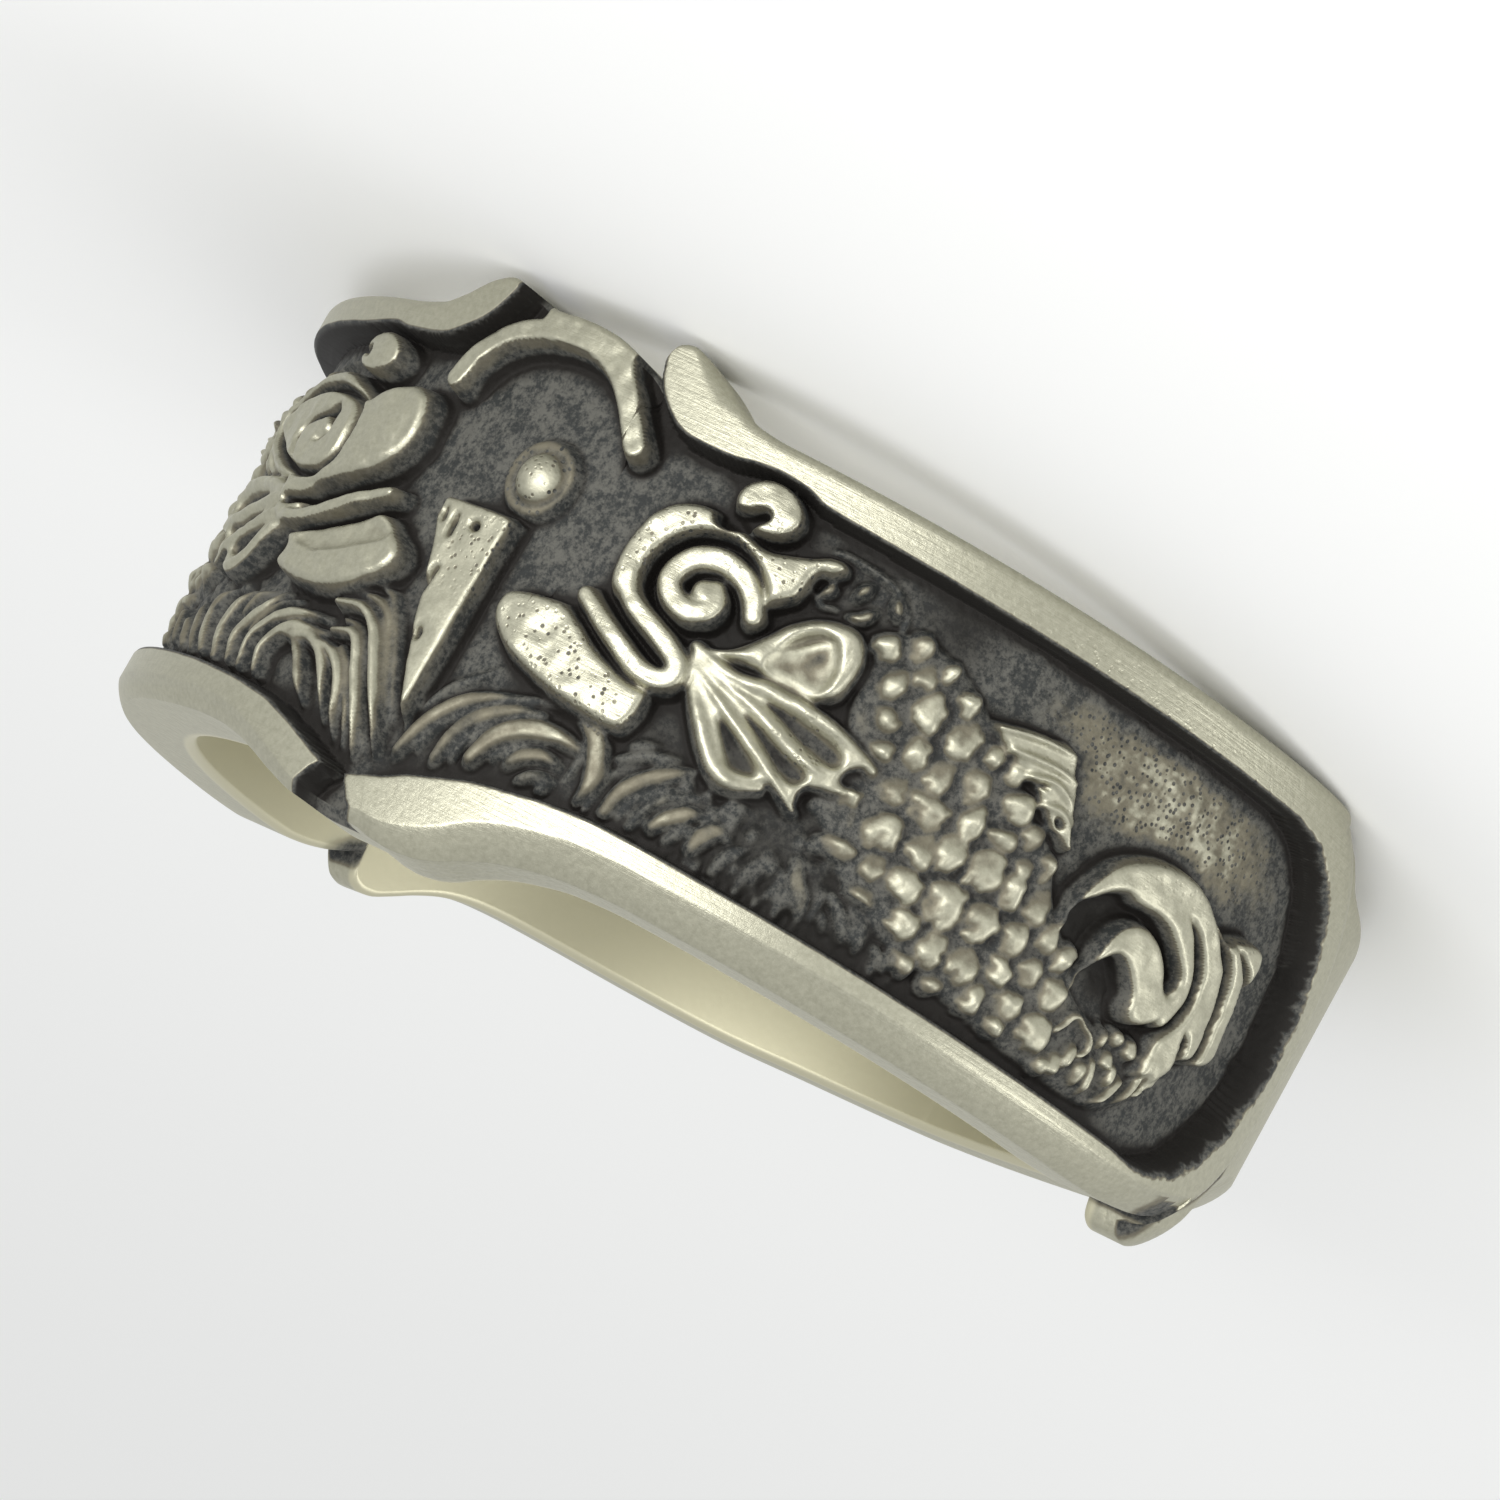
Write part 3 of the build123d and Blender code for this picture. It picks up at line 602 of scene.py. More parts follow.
def fins(sheet, move=0.0, flip=False):
    """Breast fin and back fin."""
    plate(sheet, fish(fan_outline, 0.52, move, flip), 0.52, 0.14)
    for points in fan_hollows:
        hollow(sheet, fish(points, 0.4, move, flip), 0.2, 0.3)
    for points, width in zip(fan_ridges, fan_widths):
        ridge(sheet, fish(points, 0.58, move, flip), width, 0.6, (0.8, 0.7), level_to=1.0)
    plate(sheet, fish(dorsal_outline, 0.45, move, flip), 0.44, 0.12)
    for points in dorsal_hollows:
        hollow(sheet, fish(points, 0.4, move, flip), 0.3, 0.08)
    for points in dorsal_ridges:
        ridge(sheet, fish(points, 0.55, move, flip), 0.22, 0.55, (0.9, 0.8))


print("ridges in the breast fin and in the back fin:", len(fan_ridges), len(dorsal_ridges))

# %% [markdown]
# The tail is two plates, a crescent and a bulb inside it, with slits that part the crescent into feathers.
# Below it the casting is worn to rags, which short ridges of different widths stand for.

# %% Tail
tail_outline = [
    (12.87, -0.73), (12.76, -0.39), (12.75, -0.12), (12.78, 0.15), (12.91, 0.49), (13.13, 0.86),
    (13.45, 1.12), (13.93, 1.34), (14.39, 1.44), (14.79, 1.46), (15.21, 1.38), (15.65, 1.22), (16.05, 1.06),
    (16.35, 0.93), (16.44, 1.01), (16.74, 1.14), (17.04, 1.22), (17.24, 1.21), (17.37, 1.13), (17.46, 0.91),
    (17.44, 0.6), (17.39, 0.28), (17.42, 0.0), (17.5, -0.37), (17.58, -0.73), (17.56, -0.95),
    (17.45, -1.12), (17.19, -1.25), (16.87, -1.3), (16.7, -1.32), (16.61, -1.48), (16.52, -1.67),
    (16.37, -1.88), (16.2, -2.05), (16.12, -1.92), (15.98, -1.96), (15.81, -1.98), (15.76, -1.75),
    (15.75, -1.48), (15.7, -1.2), (15.5, -0.9), (15.5, -0.4), (15.55, -0.2), (15.4, -0.04), (15.17, 0.14),
    (14.89, 0.3), (14.6, 0.42), (14.34, 0.44), (14.09, 0.41), (13.88, 0.41), (13.67, 0.46), (13.38, 0.32),
    (13.16, 0.12), (12.97, -0.04), (12.9, -0.25), (12.93, -0.54),
]
inner_crescent = [
    (13.64, -1.52), (13.62, -1.28), (13.63, -1.06), (13.6, -0.73), (13.63, -0.42), (13.73, -0.13),
    (13.92, 0.1), (14.16, 0.25), (14.44, 0.3), (14.75, 0.22), (15.02, 0.07), (15.26, -0.15), (15.44, -0.38),
    (15.62, -0.42), (15.88, -0.3), (15.95, -0.5), (15.86, -0.75), (15.7, -1.0), (15.45, -1.2),
    (15.21, -1.31), (14.98, -1.32), (14.8, -1.16), (14.73, -0.92), (14.58, -0.74), (14.39, -0.59),
    (14.15, -0.49), (13.97, -0.61), (13.81, -0.81), (13.73, -1.05), (13.72, -1.32),
]
tail_slits = [
    ([(15.0, 0.82), (15.34, 0.62), (15.65, 0.32), (15.88, -0.01), (15.97, -0.36), (15.92, -0.72),
      (15.76, -1.05), (15.5, -1.33)], 0.23),
    ([(15.3, 1.24), (15.71, 1.01), (16.06, 0.77), (16.36, 0.52), (16.58, 0.22), (16.74, -0.12),
      (16.78, -0.46), (16.85, -0.78), (16.83, -1.09), (16.7, -1.4)], 0.23),
    ([(16.37, 0.94), (16.71, 0.77), (16.98, 0.58), (17.13, 0.33), (17.23, 0.06), (17.31, -0.27),
      (17.38, -0.55), (17.48, -0.83)], 0.16), ([(16.25, -0.85), (16.37, -1.12), (16.41, -1.45)], 0.16),
]
tail_rags = [  # worn forms below the tail: a line, its width
    ([(14.78, -2.2), (14.86, -2.55), (14.86, -2.8)], 0.24),
    ([(15.56, -2.19), (15.38, -2.55), (15.15, -2.84)], 0.22),
    ([(15.95, -1.78), (15.88, -2.16), (15.72, -2.59)], 0.2),
    ([(16.19, -1.86), (16.08, -2.17), (15.97, -2.34)], 0.14),
    ([(13.72, -2.1), (13.84, -1.92), (13.94, -1.69), (14.19, -1.78), (14.45, -1.88), (14.53, -2.09),
      (14.41, -2.25), (14.15, -2.26)], 0.17), ([(14.73, -1.89), (14.7, -1.56)], 0.2),
    ([(14.26, -2.21), (14.2, -2.59)], 0.3), ([(15.29, -2.09), (15.27, -2.44)], 0.26),
    ([(15.05, -2.0), (15.08, -2.2)], 0.42), ([(15.42, -1.6), (15.47, -1.85)], 0.46),
    ([(16.3, -1.72), (16.2, -2.05)], 0.2),
]


def tail(sheet, move=0.0, flip=False):
    """Crescent, bulb and feathers."""
    plate(sheet, fish(tail_outline, 0.56, move, flip), 0.57, 0.2)
    plate(sheet, fish(inner_crescent, 0.56, move, flip), 0.56, 0.2)
    for points, width in tail_slits:
        groove(sheet, fish(points, 0.45, move, flip), width, 0.42, (0.35, 0.8))
    for points, width in tail_rags:
        ridge(sheet, fish(points, 0.42, move, flip), width, 0.44, (0.9, 0.5), level_to=0.9)


print("tail slits:", len(tail_slits), "and rags:", len(tail_rags))

# %% [markdown]
# The right head: a long pitted forehead curls back into a horn with a round knob above it, the eye is a
# spiral, and the mouth is a folded ribbon over a flat lip.

# %% Right head
forehead = [
    (2.95, 0.6), (2.8, 0.95), (2.78, 1.5), (2.94, 2.1), (3.25, 2.46), (3.7, 2.64), (4.2, 2.62), (4.7, 2.51),
    (5.05, 2.43), (5.4, 2.52), (5.8, 2.67), (6.1, 2.83), (6.4, 2.84), (6.5, 2.67), (6.32, 2.46),
    (6.1, 2.38), (6.05, 2.1), (5.96, 1.83), (5.7, 1.6), (5.5, 1.5), (5.28, 1.8), (4.98, 2.05), (4.6, 2.2),
    (4.2, 2.18), (3.84, 2.02), (3.55, 1.7), (3.42, 1.3), (3.47, 0.95), (3.66, 0.66), (3.35, 0.46),
]
jaw_line = [
    (3.15, 0.95), (3.28, 0.72), (3.6, 0.5), (4.0, 0.33), (4.4, 0.15), (4.68, -0.05), (4.7, -0.28),
    (4.45, -0.42), (4.05, -0.38), (3.5, -0.12), (2.95, 0.17), (2.65, 0.34),
]
eye_line = [
    (5.42, 1.28), (5.25, 1.55), (4.95, 1.78), (4.5, 1.86), (4.08, 1.72), (3.86, 1.42), (3.86, 1.14),
    (4.08, 0.92), (4.4, 0.84), (4.68, 0.98), (4.74, 1.2), (4.62, 1.36),
]
lip = [
    (1.18, -0.3), (1.26, -0.1), (1.55, 0.03), (2.0, 0.09), (2.4, 0.12), (2.77, -0.04), (3.2, -0.29),
    (3.7, -0.49), (4.1, -0.6), (4.5, -0.64), (4.57, -0.9), (4.5, -1.3), (4.27, -1.55), (3.6, -1.55),
    (2.9, -1.46), (2.2, -1.28), (1.7, -1.08), (1.34, -0.8), (1.18, -0.54),
]
gill = [
    (4.75, 0.45), (5.3, 0.65), (5.7, 1.1), (6.0, 1.5), (6.4, 1.82), (6.9, 1.97), (7.25, 1.9), (7.48, 1.6),
    (7.52, 1.2), (7.42, 0.75), (7.1, 0.48), (6.5, 0.42), (5.8, 0.42), (4.9, 0.32),
]
gill_dish = [(6.05, 0.55), (6.1, 0.95), (6.45, 1.42), (6.85, 1.55), (7.08, 1.3), (7.12, 0.8), (6.9, 0.52)]
gill_line = [(6.12, 0.98), (6.35, 1.28), (6.62, 1.5), (6.88, 1.52)]
pupil, horn_knob = (4.47, 1.26), (4.78, 3.02)
knob_cut = [
    (4.0, 2.7), (4.25, 2.77), (4.5, 2.81), (4.7, 2.93), (4.84, 2.93), (4.87, 2.83), (4.76, 2.68),
    (4.66, 2.56), (4.4, 2.4), (4.1, 2.4),
]
head_level = 0.62


def gill_lobe(sheet, move=0.0, flip=False):
    """Cheek lobe with a dished face."""
    plate(sheet, fish(gill, 0.58, move, flip), 0.62, 0.28)
    hollow(sheet, fish(gill_dish, 0.5, move, flip), 0.24, 0.7)
    groove(sheet, fish(gill_line, 0.45, move, flip), 0.26, 0.14)


def right_head(sheet):
    """Head with the spiral eye."""
    gill_lobe(sheet)
    plate(sheet, read(forehead, head_level), 0.65, 0.2)
    plate(sheet, read(lip, head_level), head_level, 0.22)
    ridge(sheet, read(eye_line, head_level), 0.58, head_level, (0.9, 0.9), level_to=0.6)
    knob(sheet, read([pupil], head_level)[0], 0.29, head_level, 0.7)
    ridge(sheet, read(jaw_line, head_level), 0.52, 0.65, (0.95, 0.9), level_to=0.6)
    knob(sheet, read([horn_knob], 0.64)[0], 0.68, 0.66, 0.9, 0.74)
    hollow(sheet, read(knob_cut, 0.55), 0.5, 0.06)


print("points in the right head's forehead and lip:", len(forehead), len(lip))

# %% [markdown]
# The left head was cast cleaner and stayed smoother. Its eye is a wider ring with the spiral cut into it,
# and the mouth is a plain tube over the lip.

# %% Left head
left_gill_move = 0.2
left_brow = [
    (-4.21, 2.24), (-3.82, 2.46), (-3.45, 2.6), (-3.06, 2.7), (-2.67, 2.64), (-2.43, 2.49), (-2.32, 2.25),
    (-2.27, 1.98), (-2.27, 1.7), (-2.4, 1.39), (-2.61, 1.13), (-2.98, 0.85), (-3.57, 0.6), (-4.23, 0.38),
    (-4.68, 0.26), (-4.93, 0.09), (-4.99, -0.14), (-4.91, -0.35), (-5.35, -0.17), (-5.46, 0.13),
    (-5.5, 0.38), (-5.95, 0.4), (-6.83, 0.65), (-7.4, 1.02), (-7.6, 1.46), (-7.5, 1.81), (-7.2, 2.05),
    (-6.69, 2.3), (-6.04, 2.6), (-5.35, 2.69), (-4.7, 2.45),
]
left_lip = [
    (-4.38, -0.61), (-4.26, -0.47), (-3.45, -0.22), (-2.74, 0.04), (-2.19, 0.3), (-1.94, 0.31),
    (-1.63, 0.15), (-1.29, -0.05), (-1.11, -0.29), (-1.15, -0.54), (-1.3, -0.77), (-1.6, -0.99),
    (-1.99, -1.2), (-2.45, -1.35), (-3.0, -1.41), (-3.52, -1.38), (-4.04, -1.29), (-4.31, -1.17),
    (-4.28, -0.98), (-4.24, -0.81),
]
left_dish = [
    (-3.9, -0.55), (-2.83, -0.12), (-2.07, 0.16), (-1.68, 0.08), (-1.58, -0.15), (-2.3, -0.5),
    (-3.32, -0.78),
]
left_eye_slit = [
    (-5.19, 0.56), (-5.87, 0.76), (-6.62, 1.11), (-6.85, 1.48), (-6.55, 1.79), (-6.07, 2.05), (-5.35, 2.22),
    (-4.55, 2.16), (-4.12, 1.98), (-3.95, 1.67), (-3.91, 1.31), (-4.0, 0.94), (-4.29, 0.65), (-4.75, 0.54),
    (-5.19, 0.56),
]
left_spiral = [
    (-5.36, 0.73), (-5.54, 0.98), (-5.67, 1.26), (-5.47, 1.49), (-5.07, 1.67), (-4.81, 1.77), (-4.64, 1.54),
    (-4.67, 1.32), (-4.94, 1.17),
]
left_arm = [
    (-2.16, 0.65), (-2.45, 0.54), (-2.97, 0.31), (-3.54, 0.04), (-4.19, -0.18), (-4.75, -0.27),
    (-5.15, -0.15),
]
left_gap = [(-4.75, -0.02), (-4.31, 0.1), (-3.79, 0.3), (-3.17, 0.53), (-2.62, 0.78), (-2.1, 1.03)]

left_eye_pit = [(-4.85, 1.8), (-4.72, 1.68)]
left_knob = (-4.72, 3.06)
left_knob_cut = [(-5.05, 2.62), (-5.1, 2.9), (-4.92, 3.05), (-4.78, 2.96)]


def left_head(sheet):
    """Head with the ring eye."""
    gill_lobe(sheet, left_gill_move, True)
    plate(sheet, read(left_brow, 0.62), 0.64, 0.26)
    groove(sheet, read(left_eye_slit, 0.5), 0.22, 0.32, (1.0, 1.0))
    groove(sheet, read(left_spiral, 0.5), 0.19, 0.32)
    groove(sheet, read(left_eye_pit, 0.5), 0.26, 0.5, (1.0, 1.0), False)
    plate(sheet, read(left_lip, 0.6), 0.6, 0.24)
    hollow(sheet, read(left_dish, 0.55), 0.14, 0.3)
    ridge(sheet, read(left_arm, 0.62), 0.4, 0.64, (0.9, 0.95), level_to=0.6)
    groove(sheet, read(left_gap, 0.4), 0.2, 0.6, (0.8, 1.0))
    knob(sheet, read([left_knob], 0.62)[0], 0.72, 0.62, 0.9, 0.6)
    groove(sheet, read(left_knob_cut, 0.5), 0.17, 0.45, (1.0, 0.8))


print("points in the left head's brow and lip:", len(left_brow), len(left_lip))

# %% [markdown]
# Between the heads stands the arch, open below, with the pearl under it and a wedge that runs down to the
# waves. The ground inside the arch stays bare here.

# %% Arch, pearl and wedge
arch_line = [
    (-2.1, 2.98), (-1.97, 3.35), (-1.68, 3.76), (-1.2, 4.1), (-0.6, 4.28), (0.0, 4.33), (0.6, 4.28),
    (1.1, 4.05), (1.5, 3.72), (1.82, 3.35), (2.12, 2.97),
]
crest = [
    (-1.45, 4.0), (-1.25, 4.3), (-0.95, 4.45), (-0.9, 5.3), (1.2, 5.3), (1.35, 4.32), (1.5, 4.1),
    (1.3, 3.9), (0.6, 4.25), (0.0, 4.3), (-0.6, 4.25),
]
wedge = [
    (-0.88, 0.55), (-0.9, 0.95), (-0.82, 1.02), (-0.2, 1.04), (0.6, 1.06), (0.78, 0.98), (0.76, 0.2),
    (0.74, -1.2), (0.72, -2.4), (0.64, -3.0), (0.48, -2.7), (0.2, -2.1), (-0.12, -1.4), (-0.35, -0.7),
    (-0.6, 0.0),
]
pearl_disc, pearl_dome = (0.76, 1.82), (0.66, 1.84)
wedge_holes = [
    ([(-0.66, 0.72), (-0.6, 0.52)], 0.13), ([(-0.34, 0.68), (-0.3, 0.3)], 0.12),
    ([(0.08, 0.63), (0.16, 0.6)], 0.2), ([(-0.17, -0.3), (-0.26, -0.85)], 0.15),
    ([(0.13, -1.38), (0.17, -1.52)], 0.17),
]


def middle(sheet):
    """Arch, pearl and wedge at the centre of the front."""
    plate(sheet, crest, 0.58, 0.1, smooth=False)
    ridge(sheet, read(arch_line, 0.58), 0.56, 0.58, (1.0, 1.0), level_to=0.35)
    plate(sheet, read(wedge, 0.5), 0.5, 0.13, smooth=False)
    for points, width in wedge_holes:
        groove(sheet, read(points, 0.45), width, 0.3, (0.8, 0.8), False)
    knob(sheet, read([pearl_disc], 0.22)[0], 0.76, 0.26, 1.0)
    knob(sheet, read([pearl_dome], 0.5)[0], 0.52, 0.55, 0.3)


print("holes in the wedge:", len(wedge_holes))

# %% [markdown]
# The waves fill the ground below with curved ridges, higher towards the middle. Each row gives the line of
# a ridge, its width and its height. Those at the left are fuller, as they are less worn.

# %% Waves
wave_rows = [
    ([(-1.95, -1.45), (-1.3, -1.4), (-0.9, -1.6), (-0.6, -1.95), (-0.3, -2.4), (0, -2.85), (0.2, -3.2),
      (0.42, -3.58)], 0.19, 0.42),
    ([(-1.8, -1.28), (-1.15, -1.18), (-0.7, -1.35), (-0.35, -1.85), (0.05, -2.5),
      (0.45, -3.25)], 0.16, 0.26),
    ([(-1.2, -0.95), (-0.75, -1.05), (-0.3, -1.6), (0.15, -2.3), (0.5, -3)], 0.14, 0.2),
    ([(-1.7, -1.95), (-1.2, -1.88), (-0.95, -2.1), (-0.7, -2.5), (-0.45, -2.85), (-0.2, -3.3),
      (0.02, -3.75)], 0.18, 0.36),
    ([(-1.55, -1.7), (-1.05, -1.75), (-0.7, -2.05), (-0.4, -2.55), (-0.1, -3.05), (0.2, -3.6)], 0.12, 0.24),
    ([(-1.9, -2.22), (-1.5, -2.28), (-1.15, -2.5), (-0.9, -2.85), (-0.75, -3.2),
      (-0.55, -3.62)], 0.17, 0.34),
    ([(-1.3, -2.15), (-0.95, -2.4), (-0.65, -2.85), (-0.4, -3.3), (-0.25, -3.7)], 0.12, 0.26),
    ([(-2.75, -2.3), (-2.2, -2.2), (-1.75, -2.35), (-1.4, -2.68), (-1.15, -3.05),
      (-0.95, -3.42)], 0.19, 0.34),
    ([(-2.5, -2.35), (-2.15, -2.6), (-1.9, -2.92), (-1.6, -3.28)], 0.2, 0.3),
    ([(-3.1, -3.1), (-3.22, -2.75), (-3.1, -2.42), (-2.75, -2.16), (-2.3, -2.08),
      (-1.9, -2.05)], 0.2, 0.34),
    ([(-3.6, -3.1), (-3.68, -2.65), (-3.48, -2.3), (-3.1, -2), (-2.6, -1.85), (-2.1, -1.8)], 0.2, 0.34),
    ([(-4.05, -3.05), (-4.22, -2.6), (-4, -2.25), (-3.7, -1.95), (-3.5, -1.6)], 0.2, 0.32),
    ([(-3.85, -2.5), (-3.6, -2.15), (-3.3, -1.85), (-3, -1.65)], 0.13, 0.26),
    ([(-4.6, -3.05), (-4.82, -2.5), (-4.75, -2.1), (-4.5, -1.75)], 0.24, 0.32),
    ([(-4.35, -2.3), (-4.25, -1.95), (-4, -1.65)], 0.13, 0.26),
    ([(-5.2, -3), (-5.55, -2.5), (-5.6, -2.1), (-5.3, -1.8)], 0.24, 0.3),
    ([(-5.75, -3), (-6.1, -2.5), (-6.3, -2.1)], 0.22, 0.28), ([(-6.4, -2.95), (-6.9, -2.4)], 0.22, 0.26),
    ([(-7.3, -2.9), (-7.6, -2.45), (-8, -2.2)], 0.19, 0.26), ([(-8.3, -2.85), (-8.7, -2.5)], 0.19, 0.26),
    ([(0.86, -3.42), (1, -3), (1.2, -2.6), (1.55, -2.2), (2, -1.93), (2.5, -1.72)], 0.22, 0.32),
    ([(0.95, -2.6), (1.2, -2.15), (1.6, -1.75), (1.9, -1.45)], 0.15, 0.16),
    ([(1.2, -3.2), (1.35, -2.8), (1.65, -2.4), (2.05, -2.12)], 0.15, 0.2),
    ([(1.6, -3.28), (1.66, -2.9), (1.82, -2.52), (2.12, -2.2), (2.55, -1.95), (3.05, -1.8)], 0.22, 0.3),
    ([(1.9, -3.15), (2, -2.8), (2.25, -2.45), (2.6, -2.18)], 0.14, 0.2),
    ([(2.2, -3), (2.35, -2.62), (2.6, -2.32), (3, -2.1), (3.5, -2.02), (3.92, -2.06)], 0.29, 0.36),
    ([(2.6, -2.85), (2.85, -2.55), (3.2, -2.35)], 0.14, 0.2),
    ([(2.88, -2.78), (3.1, -2.56), (3.4, -2.44), (3.68, -2.48)], 0.21, 0.3),
    ([(3.2, -2.98), (3.42, -2.82), (3.75, -2.76)], 0.18, 0.24), ([(3.6, -3), (3.75, -2.9)], 0.15, 0.2),
    ([(2.2, -1.95), (2.8, -1.66), (3.4, -1.55), (3.85, -1.72), (4, -2.1), (3.95, -2.6)], 0.15, 0.18),
    ([(3.75, -1.58), (4.05, -1.74), (4.26, -2.1), (4.35, -2.45), (4.28, -2.85)], 0.29, 0.36),
    ([(4.5, -2.95), (4.55, -2.5), (4.65, -2.1)], 0.14, 0.18),
    ([(4.8, -2.8), (4.9, -2.36), (5.15, -2.02), (5.5, -1.72), (5.82, -1.5)], 0.24, 0.34),
    ([(4.6, -1.9), (5, -1.65), (5.5, -1.45)], 0.15, 0.2), ([(4.7, -1.6), (5.1, -1.4)], 0.14, 0.16),
    ([(5.05, -2.8), (5.15, -2.45), (5.4, -2.15), (5.8, -1.85)], 0.12, 0.2),
    ([(5.3, -2.85), (5.42, -2.42), (5.7, -2.08), (6.1, -1.86)], 0.15, 0.24),
    ([(5.65, -2.65), (5.82, -2.4), (6.08, -2.18), (6.35, -2.08)], 0.24, 0.34),
    ([(5.95, -2.75), (6.15, -2.5), (6.4, -2.3)], 0.15, 0.22),
    ([(6.4, -2.65), (6.5, -2.35), (6.68, -2.2), (6.85, -2.22)], 0.26, 0.34),
    ([(6.9, -2.85), (7, -2.5), (7.25, -2.2)], 0.18, 0.2),
    ([(7.4, -2.8), (7.5, -2.4), (7.8, -2.1)], 0.18, 0.18),
    ([(8.1, -2), (8.24, -2.28), (8.44, -2.5), (8.56, -2.8)], 0.24, 0.34),
    ([(7.9, -2.75), (8, -2.45), (7.9, -2.2)], 0.15, 0.18),
    ([(8.2, -1.62), (8.6, -1.45), (9, -1.42)], 0.21, 0.28),
    ([(8.9, -2.2), (9.2, -2.45), (9.4, -2.75)], 0.18, 0.26), ([(9.6, -2.35), (9.7, -2.8)], 0.15, 0.26),
    ([(9, -2.75), (8.85, -2.5)], 0.15, 0.18), ([(10, -2.6), (10.3, -2.85)], 0.15, 0.22),
    ([(8.4, -0.5), (8.5, -0.9), (8.65, -1.15)], 0.18, 0.26),
]

wave_spread = 1.6
fuller_left, fuller_right = 1.15, 0.9


def waves(sheet):
    """Curved ridges along the lower rail."""
    for points, width, height in wave_rows:
        fuller = fuller_left if points[0][0] < 0 else fuller_right
        ridge(sheet, read(points, height), width * wave_spread, height * fuller, (0.8, 0.5), level_to=0.75)


print("waves:", len(wave_rows))

# %% [markdown]
# All motifs together. The order does not matter for what is raised, but a cut goes only into what was drawn
# before it, so the bodies come before the heads that lie over them.

# %% All motifs
left_move = 0.3                      # shift of the left fish after it is turned over


def relief(along, rise):
    """Height of all motifs above the ground."""
    sheet = Sheet(along, rise)
    waves(sheet)
    for move, flip in ((0.0, False), (left_move, True)):
        body(sheet, move, flip)
        tail(sheet, move, flip)
        fins(sheet, move, flip)
    right_head(sheet)
    left_head(sheet)
    middle(sheet)
    return sheet.height


print("pearl above the ground, mm:", relief(np.array([0.7]), np.array([1.8])).round(2))

# %% [markdown]
# Now the band itself. Each column is one closed cross-section: the outside from the lower edge to the
# upper one, the upper rim, the bore, and the lower rim. Close columns and rows make the edges of the relief
# crisp. The two tables give how far the rims are rounded from place to place.

# %% Rows of a cross-section
outer_rows, rim_rows, bore_rows = 206, 10, 18
core_low, core_high = -2.9, 3.1      # between these the rows keep their level right round
hoop_round, low_hoop_round = 0.36, 0.6
tip_round_rows = [
    (-3.4, 0.2), (-2.6, 0.2), (-1.9, 0.12), (0.0, 0.12), (1.9, 0.1), (2.25, 0.12), (2.5, 0.26), (2.75, 0.4),
    (3.0, 0.44), (3.5, 0.26), (4.1, 0.2), (5.0, 0.2),
]
foot_round_rows = [
    (-6.0, 0.38), (-3.0, 0.36), (-1.5, 0.3), (-0.4, 0.2), (0.3, 0.2), (1.2, 0.3), (2.2, 0.5), (3.0, 0.62),
    (3.8, 0.62), (4.6, 0.62), (6.0, 0.6),
]


def rows_between(bottom, top):
    """Levels of the outer rows of each column."""
    share = np.linspace(0, 1, outer_rows)
    low_share, high_share = 0.14, 0.86
    core_bottom = np.maximum(core_low, bottom + 0.16 * (top - bottom))
    core_top = np.minimum(core_high, top - 0.14 * (top - bottom))
    lower, upper = share <= low_share, share >= high_share
    core = ~lower & ~upper
    core_part = (share[core] - low_share) / (high_share - low_share)
    levels = np.empty((len(bottom), outer_rows))
    levels[:, lower] = bottom[:, None] + (core_bottom - bottom)[:, None] * share[lower] / low_share
    levels[:, upper] = top[:, None] - (top - core_top)[:, None] * (1 - share[upper]) / (1 - high_share)
    levels[:, core] = core_bottom[:, None] + (core_top - core_bottom)[:, None] * core_part
    return levels


print("rows in a cross-section:", rows_between(np.array([-2.8]), np.array([2.8])).shape[1])

# %% [markdown]
# Heights come first. The rails stand highest, with a rounded inner edge and a drop to the plain hoop behind
# the frame. The sunken ground is a little uneven from casting and choppy between the waves. The motifs stand
# on it, and one step of blur takes off what a wax model would not have kept.

# %% Heights of the outside
frame_reach = 22.4                   # beyond this there is only the plain back
rail_level, hoop_level = rail_radius - ground_radius, hoop_radius - ground_radius
bare_level = 0.02                    # motifs lower than this are ground


def blur(values, columns, rows):
    """Mean over a box of columns and rows."""
    for axis, size in ((0, columns), (1, rows)):
        pad = [(0, 0), (0, 0)]
        pad[axis] = (size + 1, size)
        total = np.cumsum(np.pad(values, pad, mode="edge"), axis=axis)
        high = np.take(total, np.arange(2 * size + 1, total.shape[axis]), axis=axis)
        low = np.take(total, np.arange(0, total.shape[axis] - 2 * size - 1), axis=axis)
        values = (high - low) / (2 * size + 1)
    return values


def steepness(height, along, rise):
    """Slope of a grid of heights, in millimetres per millimetre."""
    down_rows = np.gradient(height, axis=1) / np.gradient(rise, axis=1)
    down_columns = np.gradient(height, along[:, 0], axis=0)
    return blur(np.hypot(down_rows, down_columns), 1, 1)


def at_end(along):
    """0 along the rails, 1 where they have turned into the upright end bars."""
    return np.clip((np.abs(along) - 16.0) / 2.4, 0, 1)


def rails(along, rise, to_field, to_frame):
    """Height of the frame."""
    inner_edge = rail_level * shoulder(to_field, 0.08 + 0.16 * at_end(along))
    outer_soft = 0.16 + 0.4 * np.clip(rise / 3, 0, 1)
    drop = hoop_level + (rail_radius - hoop_radius) * shoulder(to_frame, outer_soft)
    return np.minimum(inner_edge, drop) + 0.01 * unevenness(along, rise, 1.6, 3) - 0.01


